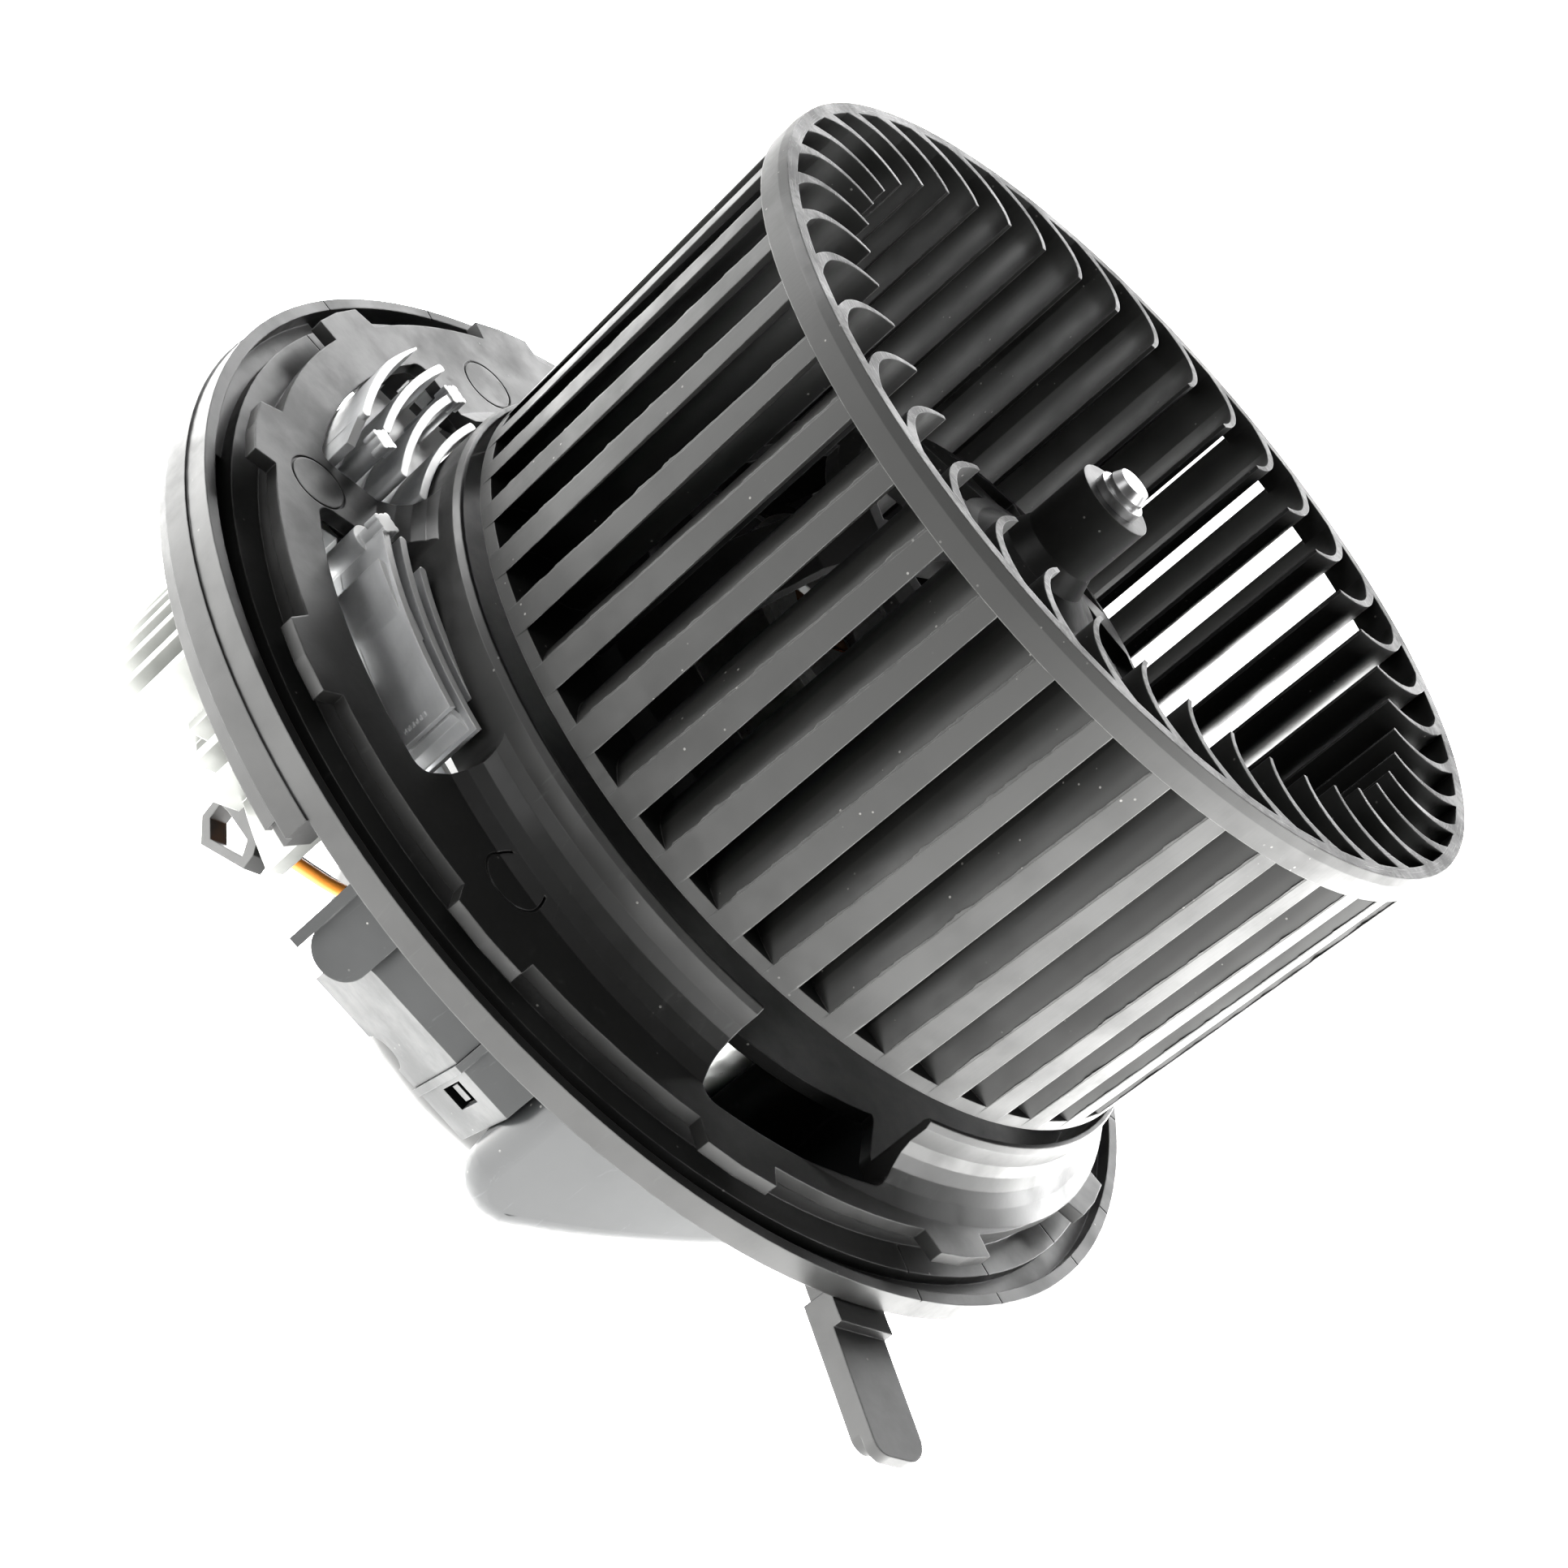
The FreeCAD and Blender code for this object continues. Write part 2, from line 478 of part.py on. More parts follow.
def regulator_housing():
    """Main half of the regulator housing with its connector mouth and side tab."""
    body = housing_block(0.0, -17.0, 5.6)
    corner = [e for e in body.Edges if abs(e.BoundBox.ZLength - 20.0) < 0.1
              and math.hypot(e.CenterOfMass.x, e.CenterOfMass.y) > 78]
    body = body.makeFillet(6.0, [e for e in corner if e.CenterOfMass.x < -20])
    room = housing_block(2.0, -15.0, 7.0)
    floor = aimed(box(45.0, 62.0, -15.2, 7.0, -31.5, -30.0), HOUSING_ANGLE, (0, 0))
    notch = aimed(Part.makeCylinder(3.4, 14, Vec(54.0, -1.5, -43.2), Vec(1, 0, 0.0)), HOUSING_ANGLE, (0, 0))
    mouth = aimed(box(47.5, 56.5, -14.6, 4.0, -50.0, -31.5), HOUSING_ANGLE, (0, 0))
    arm = aimed(box(60.0, 74.0, 2.4, 11.4, -31.0, -28.6), HOUSING_ANGLE, (0, 0))
    head = aimed(box(60.0, 78.0, 8.4, 11.4, -31.0, -28.6), HOUSING_ANGLE, (0, 0))
    bridge = aimed(box(60.0, 74.0, 2.4, 5.4, -33.0, -26.0), HOUSING_ANGLE, (0, 0))
    tab = [aimed(piece, HOUSING_ANGLE, (0, 0)) for piece in (
        box(81.0, 82.6, -22.6, -12.9, -22.0, -1.0),
        Part.makeCylinder(4.85, 1.6, Vec(81.0, -17.75, -22.0), Vec(1, 0, 0)),
        box(81.0, 84.4, -24.2, -22.4, -26.0, -4.5),
        box(76.0, 81.2, -16.8, -14.8, -20.0, -2.0))]
    shell = fuse([body.cut(room), floor.common(body)] + tab)
    inside = housing_block(2.3, 2.0, 12.0).cut(housing_block(5.0, 1.0, 13.0))
    hook = fuse([arm.common(inside), head.common(housing_block(0.4, 2.0, 12.0)).cut(housing_block(5.0, 1.0, 13.0)),
                 bridge.common(housing_block(0.4, 2.0, 5.4)).cut(housing_block(5.0, 1.0, 13.0))])
    shell = fuse([shell, hook])
    return cut(shell, [notch, mouth, duct_clearance()] + terminal_slots())


def regulator_cover():
    """Right half of the housing, with the window its snap hook shows through."""
    body = housing_block(0.0, 5.7, 16.5)
    inner = housing_block(2.0, 4.0, 14.5)
    seam = housing_block(-0.5, 5.7, 7.1).cut(housing_block(1.5, 4.0, 9.0))
    window = aimed(box(60.0, 78.0, 8.0, 12.2, -34.0, -26.5), HOUSING_ANGLE, (0, 0))
    shell = fuse([body.cut(inner), seam])
    return cut(shell, [window, duct_clearance()])


def regulator_board():
    plate = box(57.5, 77.0, -13.6, 13.6, -14.6, -13.0)
    return aimed(plate, HOUSING_ANGLE, (0, 0))


def board_parts():
    """Capacitors, choke and driver chip on the board."""
    caps = [Part.makeCylinder(3.1, 8.6, Vec(62.4, y, -12.95)) for y in (-9.6, -2.4)]
    choke = Part.makeTorus(3.2, 1.4, Vec(72.0, 3.2, -11.5))
    chip = box(68.6, 73.6, -10.0, -5.6, -12.95, -11.2)
    return [aimed(s, HOUSING_ANGLE, (0, 0)) for s in caps + [choke, chip]]


def power_transistors():
    """Three transistors clamped on the inside of the heat sink's wall."""
    pieces = []
    for angle in (183.0, 194.0, 205.0):
        case = box(71.7, 76.2, -5.0, 5.0, -33.0, -17.0)
        tab = box(74.9, 76.2, -5.0, 5.0, -17.2, -11.5)
        legs = [box(73.4, 74.2, y - 0.45, y + 0.45, -38.0, -32.8) for y in (-2.5, 0.0, 2.5)]
        piece = fuse([case, tab] + legs)
        pieces.append(aimed(piece, angle, (WHEEL_X, 0)))
    return pieces


def transistor_clip():
    """Spring strip that presses the transistors on the sink."""
    strip = sector(70.6, 71.5, 176, 212, -28.0, -21.0, WHEEL_X)
    feet = [sector(70.6, 76.5, a, a + 1.2, -28.0, -21.0, WHEEL_X) for a in (174.9, 211.9)]
    return fuse([strip] + feet)


TERMINALS = (-11.6, -7.4, -3.2, 1.0)


def terminal_slots():
    return [aimed(box(51.5, 52.5, y - 1.4, y + 1.4, -32.0, -29.5), HOUSING_ANGLE, (0, 0))
            for y in TERMINALS]


def connector_pins():
    """Blade terminals in the connector mouth under the housing."""
    pins = [box(51.6, 52.4, y - 1.35, y + 1.35, -40.5, -20.0) for y in TERMINALS]
    return [aimed(p, HOUSING_ANGLE, (0, 0)) for p in pins]


CLIP_ANGLE = 217.5


def cable_clip():
    """Moulded bracket with a slanting eye that steadies the motor leads."""
    plate = [(-8.8, -33.0), (-8.6, -42.4), (-7.8, -46.2), (-3.2, -47.9), (7.4, -40.6), (6.6, -38.0),
             (3.6, -35.4), (-2.6, -37.4), (-2.6, -33.0)]
    eye = [(-6.9, -42.0), (-6.2, -44.7), (-2.6, -45.7), (5.2, -40.2), (3.2, -38.4), (-4.4, -40.8)]
    face = Part.Face(Part.makePolygon([Vec(0, y, z) for y, z in plate + [plate[0]]]))
    hole = Part.Face(Part.makePolygon([Vec(1, y, z) for y, z in eye + [eye[0]]]))
    bracket = face.extrude(Vec(-3.4, 0, 0)).cut(hole.extrude(Vec(-6, 0, 0)))
    foot = box(-1.0, 3.8, -8.8, -2.6, -35.0, -33.0)
    hub = (WHEEL_X + 75.0 * math.cos(math.radians(CLIP_ANGLE)), 75.0 * math.sin(math.radians(CLIP_ANGLE)))
    return aimed(fuse([bracket, foot]), CLIP_ANGLE, hub)


# ---------------------------------------------------------------- motor, fixed side
GLAND_ANGLE = 227.2
GLAND_Z = -38.4


def motor_cup():
    outer = disc(CUP_R, CUP_BOTTOM, -1.2, WHEEL_X)
    outer = outer.makeFillet(CUP_EDGE, [e for e in outer.Edges if e.BoundBox.ZMax < CUP_BOTTOM + 0.1])
    inner = disc(CUP_R - CUP_WALL, CUP_BOTTOM + 2.4, 5, WHEEL_X)
    inner = inner.makeFillet(4.0, [e for e in inner.Edges if e.BoundBox.ZMax < CUP_BOTTOM + 2.5])
    ears = [fuse([disc(4.6, -11.0, -8.2, on_wheel(BOLT_R, a).x, on_wheel(BOLT_R, a).y),
                  turned(box(CUP_R - 1 + WHEEL_X, BOLT_R + WHEEL_X, -4.6, 4.6, -11.0, -8.2), a, WHEEL_X)])
            for a in BOLT_ANGLES]
    ribs = [turned(box(WHEEL_X + 12, WHEEL_X + CUP_R - 3, -0.8, 0.8, CUP_BOTTOM + 2, CUP_BOTTOM + 6),
                   i * 60, WHEEL_X)
            for i in range(6)]
    body = fuse([outer] + ears).cut(inner)
    body = fuse([body] + ribs)
    holes = [disc(1.7, -14, -5, on_wheel(BOLT_R, a).x, on_wheel(BOLT_R, a).y) for a in BOLT_ANGLES]
    vents = [turned(box(WHEEL_X + 17, WHEEL_X + 27, -1.6, 1.6, CUP_BOTTOM - 1, CUP_BOTTOM + 9),
                    30 + i * 60, WHEEL_X)
             for i in range(6)]
    air = sector(CUP_R - 6, CUP_R + 4, -82, -40, -30, -12, WHEEL_X)
    gland = turned(Part.makeCylinder(3.6, 12, Vec(WHEEL_X + 32, 0, GLAND_Z), Vec(1, 0, 0)), GLAND_ANGLE, WHEEL_X)
    drain = disc(2.0, CUP_BOTTOM - 1, CUP_BOTTOM + 4, WHEEL_X)
    return cut(body, holes + vents + [air, drain, gland])


def lead_grommet():
    """Rubber gland where the two leads pass through the cup's wall."""
    x = WHEEL_X
    neck = Part.makeCylinder(3.5, 4.6, Vec(x + 37.0, 0, GLAND_Z), Vec(1, 0, 0))
    outer = Part.makeCylinder(4.8, 1.5, Vec(x + 40.3, 0, GLAND_Z), Vec(1, 0, 0))
    inner = Part.makeCylinder(4.5, 1.2, Vec(x + 36.4, 0, GLAND_Z), Vec(1, 0, 0))
    holes = [Part.makeCylinder(LEAD_R + 0.02, 12, Vec(x + 33, 0, GLAND_Z + d), Vec(1, 0, 0)) for d in (-1.5, 1.5)]
    return turned(cut(fuse([neck, outer, inner]), holes), GLAND_ANGLE, x)


def cup_screws():
    screws = []
    for a in BOLT_ANGLES:
        piece = screw(1.25, 3.4, 2.2, 10.0)
        piece.rotate(Vec(0, 0, 0), Vec(1, 0, 0), 180)
        spot = on_wheel(BOLT_R, a, -11.0)
        piece.translate(spot)
        screws.append(piece)
    return screws


def sink_screws():
    screws = []
    for a in SINK_SCREW_ANGLES:
        piece = screw(1.3, 2.4, 1.8, 5.2)
        piece.rotate(Vec(0, 0, 0), Vec(1, 0, 0), 180)
        piece.translate(on_wheel(SINK_SCREW_R, a, -3.0))
        screws.append(piece)
    return screws


def damper_pads():
    """Rubber pads that hold the motor can in the cup."""
    pads = []
    for level in (-44.0, -17.0):
        for i in range(3):
            pads.append(sector(CAN_R, CUP_R - CUP_WALL - 0.02, 80 + i * 120, 96 + i * 120, level, level + 8,
                               WHEEL_X))
    return pads


def motor_can():
    shell = tube(CAN_R, CAN_R - CAN_WALL, CAN_LOW, CAN_TOP, WHEEL_X)
    floor = disc(CAN_R, CAN_LOW, CAN_LOW + 2.0, WHEEL_X)
    pot = tube(9.0, 7.0, CAN_LOW - 4.0, CAN_LOW + 2.0, WHEEL_X)
    pot_floor = tube(9.0, SHAFT_R + 0.6, CAN_LOW - 4.0, CAN_LOW - 2.6, WHEEL_X)
    body = fuse([shell, floor, pot, pot_floor])
    bore = disc(7.0, CAN_LOW - 2.6, CAN_LOW + 5, WHEEL_X)
    vents = [sector(15, 27, i * 90 + 20, i * 90 + 70, CAN_LOW - 1, CAN_LOW + 4, WHEEL_X) for i in range(4)]
    sides = [sector(CAN_R - 5, CAN_R + 2, a - 12, a + 12, 22, 33, WHEEL_X) for a in (0, 90, 180, 270)]
    return cut(body, [bore] + vents + sides)


def motor_end_bell():
    """Upper bearing bridge of the motor, pressed in the can."""
    ring = tube(CAN_R - CAN_WALL - 0.05, CAN_R - 6, CAN_TOP - 3, CAN_TOP + 1.5, WHEEL_X)
    cap = tube(CAN_R - 4, 7.0, CAN_TOP, CAN_TOP + 1.5, WHEEL_X)
    pot = tube(9.2, 7.0, CAN_TOP, CAN_TOP + 8.0, WHEEL_X)
    lip = tube(9.2, SHAFT_R + 0.8, CAN_TOP + 6.8, CAN_TOP + 8.0, WHEEL_X)
    vents = [sector(13, 26, i * 60 + 12, i * 60 + 48, CAN_TOP - 1, CAN_TOP + 3, WHEEL_X) for i in range(6)]
    return cut(fuse([ring, cap, pot, lip]), vents)


def bearing(z0):
    """Sintered bush with a bulged outside."""
    height = 5.6
    bush = revolve([(SHAFT_R + FIT_GAP, z0), (6.2, z0), (6.95, z0 + height / 2), (6.2, z0 + height),
                    (SHAFT_R + FIT_GAP, z0 + height)], WHEEL_X)
    return bush


def bearing_retainer(z0):
    """Toothed spring washer that holds the bush."""
    ring = tube(6.9, 5.4, z0, z0 + 0.5, WHEEL_X)
    notches = [turned(box(WHEEL_X + 4, WHEEL_X + 6.2, -0.6, 0.6, z0 - 1, z0 + 1), i * 45, WHEEL_X)
               for i in range(8)]
    return cut(ring, notches)


def field_magnets():
    return [sector(MAGNET_R - MAGNET_THICK, MAGNET_R, a - 38, a + 38, -34, 14, WHEEL_X) for a in (0, 90, 180, 270)]


def magnet_springs():
    """Spring clips between the magnets."""
    return [sector(MAGNET_R - 3.0, MAGNET_R, a - 5.5, a + 5.5, -34, 14, WHEEL_X)
            .cut(sector(MAGNET_R - 2.0, MAGNET_R + 1, a - 4.0, a + 4.0, -33, 13, WHEEL_X))
            for a in (45, 135, 225, 315)]


def brush_card():
    plate = tube(31.6, 13.4, 19.0, 21.2, WHEEL_X)
    boxes = []
    for i in range(4):
        holder = box(WHEEL_X + 14.0, WHEEL_X + 25.0, -4.2, 4.2, 21.0, 29.5)
        room = box(WHEEL_X + 12.0, WHEEL_X + 23.6, -3.1, 3.1, 22.4, 28.2)
        boxes.append(turned(holder.cut(room), 45 + i * 90, WHEEL_X))
    return fuse([plate] + boxes)


def brushes():
    found = []
    for i in range(4):
        block = box(WHEEL_X + 11.75, WHEEL_X + 18.5, -3.0, 3.0, 22.5, 28.1)
        found.append(turned(block.cut(disc(11.75, 20, 30, WHEEL_X)), 45 + i * 90, WHEEL_X))
    return found


def brush_springs():
    """Coil behind each brush, as a closed round stack."""
    found = []
    for i in range(4):
        rings = [Part.makeTorus(1.9, 0.32, Vec(WHEEL_X + 18.95 + k * 0.66, 0, 25.3), Vec(1, 0, 0))
                 for k in range(7)]
        found.append(turned(fuse(rings), 45 + i * 90, WHEEL_X))
    return found


def brush_chokes():
    """Two rod chokes on the brush card."""
    rods = []
    for a in (0, 180):
        core = Part.makeCylinder(1.5, 12.0, Vec(WHEEL_X + 22.0, -6.0, 24.0), Vec(0, 1, 0))
        coil = Part.makeCylinder(2.5, 8.4, Vec(WHEEL_X + 22.0, -4.2, 24.0), Vec(0, 1, 0))
        rods.append(turned(fuse([core, coil]), a, WHEEL_X))
    return rods


# ---------------------------------------------------------------- rotor
def motor_shaft():
    return fuse([disc(SHAFT_R, SHAFT_LOW, TUBE_TOP - 0.6, WHEEL_X),
                 disc(SHAFT_COLLAR_R, TUBE_TOP, TUBE_TOP + 1.5, WHEEL_X),
                 disc(SHAFT_TIP_R + 0.6, TUBE_TOP - 0.7, TUBE_TOP + 2.6, WHEEL_X),
                 Part.makeCone(SHAFT_TIP_R + 0.6, SHAFT_TIP_R, 1.5, Vec(WHEEL_X, 0, TUBE_TOP + 2.6))])


def armature_core():
    """Twelve-slot lamination stack."""
    stack = tube(ARMATURE_R, SHAFT_R, -30, 10, WHEEL_X)
    tools = []
    for i in range(12):
        mouth = box(WHEEL_X + 20, WHEEL_X + 30, -1.0, 1.0, -31, 11)
        room = Part.makeCylinder(3.9, 42, Vec(WHEEL_X + 18.6, 0, -31))
        tools += [turned(mouth, i * 30, WHEEL_X), turned(room, i * 30, WHEEL_X)]
    return cut(stack, tools)


def armature_windings():
    """Copper filling of the slots with the heads at both ends."""
    coils = [turned(Part.makeCylinder(3.7, 44.0, Vec(WHEEL_X + 18.6, 0, -32.0)), i * 30, WHEEL_X)
             for i in range(12)]
    low = tube(24.0, 7.0, -37.0, -30.4, WHEEL_X)
    high = tube(24.0, 8.5, 10.4, 16.5, WHEEL_X)
    low = low.makeFillet(2.4, [e for e in low.Edges if e.BoundBox.ZMax < -36.9])
    high = high.makeFillet(2.2, [e for e in high.Edges if e.BoundBox.ZMin > 16.4])
    return fuse(coils + [low, high])


def commutator():
    body = tube(11.5, SHAFT_R, 17.5, 31.0, WHEEL_X)
    slots = [turned(box(WHEEL_X + 10.2, WHEEL_X + 13, -0.3, 0.3, 16, 32), i * 30 + 15, WHEEL_X) for i in range(12)]
    hooks = [turned(box(WHEEL_X + 11.0, WHEEL_X + 13.0, -1.0, 1.0, 17.5, 19.4), i * 30, WHEEL_X) for i in range(12)]
    return cut(fuse([body] + hooks), slots)


def thrust_washers():
    return [tube(6.4, SHAFT_R, 31.4, 32.2, WHEEL_X), tube(6.4, SHAFT_R, -44.4, -43.6, WHEEL_X)]


def blade():
    """One forward-curved blade: a bulged side, a hollow side and a flat outer land."""
    z = FOOT_LOW
    p = [on_wheel(r, a, z) for r, a in ((59.0, -0.3), (65.0, -0.75), (70.6, 1.4), (73.2, 3.4), (75.6, 5.4))]
    q = [on_wheel(r, a, z) for r, a in ((59.1, 0.4), (65.0, 0.25), (70.0, 2.6), (72.2, 4.9), (74.0, 7.9))]
    land = on_wheel(75.6, 8.0, z)
    wire = Part.Wire([arc3(p[0], p[1], p[2]), arc3(p[2], p[3], p[4]),
                      Part.LineSegment(p[4], land).toShape(), Part.LineSegment(land, q[4]).toShape(),
                      arc3(q[4], q[3], q[2]), arc3(q[2], q[1], q[0]),
                      Part.LineSegment(q[0], p[0]).toShape()])
    return Part.Face(wire).extrude(Vec(0, 0, WHEEL_TOP - FOOT_LOW))


DOME = ((TUBE_R, 72.5), (8.4, 69.0), (12.5, 66.6), (20.0, 64.4), (33.0, 61.0), (41.5, 54.0),
        (47.5, 42.0), (51.5, 31.0), (56.0, 24.6), (61.0, FOOT_TOP), (FOOT_R, FOOT_TOP))


def wheel_dome():
    """Bell that joins the hub to the foot ring, with two rows of windows."""
    outer = list(DOME)
    inner = [(SHAFT_R + FIT_GAP, 60.0), (11.6, 60.0), (32.0, 58.8), (39.9, 52.8), (45.8, 41.2), (49.9, 30.0),
             (54.6, 22.8), (58.0, FOOT_LOW), (FOOT_R, FOOT_LOW)]
    profile = [(TUBE_R, TUBE_TOP)] + outer + inner[::-1] + [(SHAFT_R + FIT_GAP, TUBE_TOP)]
    bell = revolve(profile, WHEEL_X)
    upper = [sector(15.0, 31.0, i * 45 + 8, i * 45 + 37, 40, 80, WHEEL_X) for i in range(8)]
    lower = [sector(35.5, 51.0, i * 45 + 4, i * 45 + 33, 26, 80, WHEEL_X) for i in range(8)]
    return cut(bell, upper + lower)


def blower_wheel():
    ring = revolve([(RING_BORE_R, RING_LOW), (WHEEL_R, RING_LOW), (WHEEL_R, RING_STEP_Z),
                    (WHEEL_R - 0.35, WHEEL_TOP), (RING_BORE_R, WHEEL_TOP)], WHEEL_X)
    envelope = revolve([(0, FOOT_LOW), (FOOT_R, FOOT_LOW), (FOOT_R + 0.1, FOOT_TOP), (75.4, RING_LOW),
                        (75.4, WHEEL_TOP), (0, WHEEL_TOP)], WHEEL_X)
    one = blade().common(envelope)
    blades = [turned(one, BLADE_PHASE + i * 360.0 / BLADES, WHEEL_X) for i in range(BLADES)]
    foot = tube(FOOT_R, 57.0, FOOT_LOW, FOOT_TOP, WHEEL_X)
    return fuse([ring, foot, wheel_dome()] + blades).cut(disc(TUBE_R - 1.4, 61.0, 80.0, WHEEL_X))


def hub_insert():
    """Brass sleeve moulded in the hub tube."""
    return tube(TUBE_R - 1.4, SHAFT_R, 61.0, 80.0, WHEEL_X)


def balance_clips():
    """Steel U-clips pushed on blade tips to balance the wheel."""
    clips = []
    for index in (3, 17, 30):
        legs = sector(58.1, 62.2, -1.9, 1.3, 30.0, 36.0, WHEEL_X)
        gap = sector(58.7, 63.0, -1.15, 0.6, 29.0, 37.0, WHEEL_X)
        clips.append(turned(legs.cut(gap), BLADE_PHASE + index * 360.0 / BLADES, WHEEL_X))
    return clips


# ---------------------------------------------------------------- motor leads
LEAD_PLUS = ((-50.5, -34.8, -34.5), (-45.2, -42.4, -40.2), (-30.0, -37.9, -40.0), (-21.6, -34.6, -36.9),
             (-13.96, -26.4, -36.9))
LEAD_MINUS = ((-49.4, -31.8, -35.9), (-44.6, -39.4, -41.6), (-29.4, -34.9, -41.4), (-21.4, -34.4, -39.9),
              (-13.96, -26.4, -39.9))


# ---------------------------------------------------------------- write the parts
def build():
    nodes = {
        "mounting_flange": [mounting_flange()],
        "latch_lever": [latch_lever()],
        "heat_sink": [heat_sink()],
        "sink_screws": sink_screws(),
        "cooling_duct": [cooling_duct()],
        "regulator_housing": [regulator_housing()],
        "regulator_cover": [regulator_cover()],
        "regulator_board": [regulator_board()],
        "board_components": board_parts(),
        "power_transistors": power_transistors(),
        "transistor_clip": [transistor_clip()],
        "connector_pins": connector_pins(),
        "cable_clip": [cable_clip()],
        "motor_cup": [motor_cup()],
        "cup_screws": cup_screws(),
        "lead_grommet": [lead_grommet()],
        "damper_pads": damper_pads(),
        "motor_can": [motor_can()],
        "motor_end_bell": [motor_end_bell()],
        "upper_bearing": [bearing(CAN_TOP + 1.0)],
        "lower_bearing": [bearing(CAN_LOW - 2.5)],
        "bearing_retainers": [bearing_retainer(CAN_TOP + 0.3), bearing_retainer(CAN_LOW + 3.2)],
        "field_magnets": field_magnets(),
        "magnet_springs": magnet_springs(),
        "brush_card": [brush_card()],
        "brushes": brushes(),
        "brush_springs": brush_springs(),
        "brush_chokes": brush_chokes(),
        "motor_lead_plus": [lead(LEAD_PLUS, LEAD_R)],
        "motor_lead_minus": [lead(LEAD_MINUS, LEAD_R)],
        "blower_wheel": [blower_wheel()],
        "hub_insert": [hub_insert()],
        "balance_clips": balance_clips(),
        "motor_shaft": [motor_shaft()],
        "armature_core": [armature_core()],
        "armature_windings": [armature_windings()],
        "commutator": [commutator()],
        "thrust_washers": thrust_washers(),
    }
    os.makedirs("parts", exist_ok=True)
    for name, solids in nodes.items():
        flat = [s for shape in solids for s in shape.Solids]
        shape = flat[0] if len(flat) == 1 else Part.makeCompound(flat)
        shape.exportStep("parts/" + name + ".step")
        b = shape.BoundBox
        print("%-20s solids %2d valid %s vol %9.1f  x %7.1f %7.1f y %7.1f %7.1f z %7.1f %7.1f" % (
            name, len(flat), shape.isValid(), shape.Volume, b.XMin, b.XMax, b.YMin, b.YMax, b.ZMin, b.ZMax))


build()
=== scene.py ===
import json
import math
import random

import bpy
import bmesh
from mathutils import Matrix, Vector

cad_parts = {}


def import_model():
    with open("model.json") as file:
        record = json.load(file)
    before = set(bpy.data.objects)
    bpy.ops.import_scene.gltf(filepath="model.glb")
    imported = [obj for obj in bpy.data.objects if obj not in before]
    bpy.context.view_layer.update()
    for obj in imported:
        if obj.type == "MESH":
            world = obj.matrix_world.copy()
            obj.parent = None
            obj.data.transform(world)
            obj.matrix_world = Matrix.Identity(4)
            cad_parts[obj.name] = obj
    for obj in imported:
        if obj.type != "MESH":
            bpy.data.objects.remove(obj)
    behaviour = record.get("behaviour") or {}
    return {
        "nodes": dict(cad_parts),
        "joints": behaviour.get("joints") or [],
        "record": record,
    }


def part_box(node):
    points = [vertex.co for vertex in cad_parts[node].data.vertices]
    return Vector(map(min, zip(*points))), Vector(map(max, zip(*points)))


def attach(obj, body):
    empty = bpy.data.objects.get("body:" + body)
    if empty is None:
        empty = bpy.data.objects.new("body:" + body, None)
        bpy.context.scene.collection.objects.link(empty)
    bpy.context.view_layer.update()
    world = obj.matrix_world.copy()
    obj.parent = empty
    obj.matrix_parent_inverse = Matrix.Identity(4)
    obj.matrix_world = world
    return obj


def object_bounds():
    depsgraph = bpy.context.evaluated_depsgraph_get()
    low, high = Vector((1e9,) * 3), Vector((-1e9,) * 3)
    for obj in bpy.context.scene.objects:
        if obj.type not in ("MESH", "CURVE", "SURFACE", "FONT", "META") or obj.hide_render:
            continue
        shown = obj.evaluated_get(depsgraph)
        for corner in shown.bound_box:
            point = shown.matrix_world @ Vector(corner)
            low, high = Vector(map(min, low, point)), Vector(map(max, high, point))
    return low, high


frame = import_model()
cad_low, cad_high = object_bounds()
MM = 0.001
WHEEL_X = frame["joints"][0]["pos_m"][0]
WHEEL_LOW, WHEEL_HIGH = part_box("blower_wheel")
BLADES = 41
FIRST_TIP = -117.1          # degrees about the wheel's axis

FLOOR_Z = cad_low[2]
FLOOR_HALF = 60.0
FLOOR_GLOW = (1.20, 6.5)    # a lit table: dim towards the viewer, strong under and behind the part
FLOOR_GLOW_RIGHT = 5.0      # added on the right
FLOOR_GLOW_LEFT = 0.30      # share that is left on the left
FLOOR_GLOW_FAR = 0.35       # and far behind
HORIZON = 1.05              # the world's strength low down
SKY = 0.04                  # and overhead


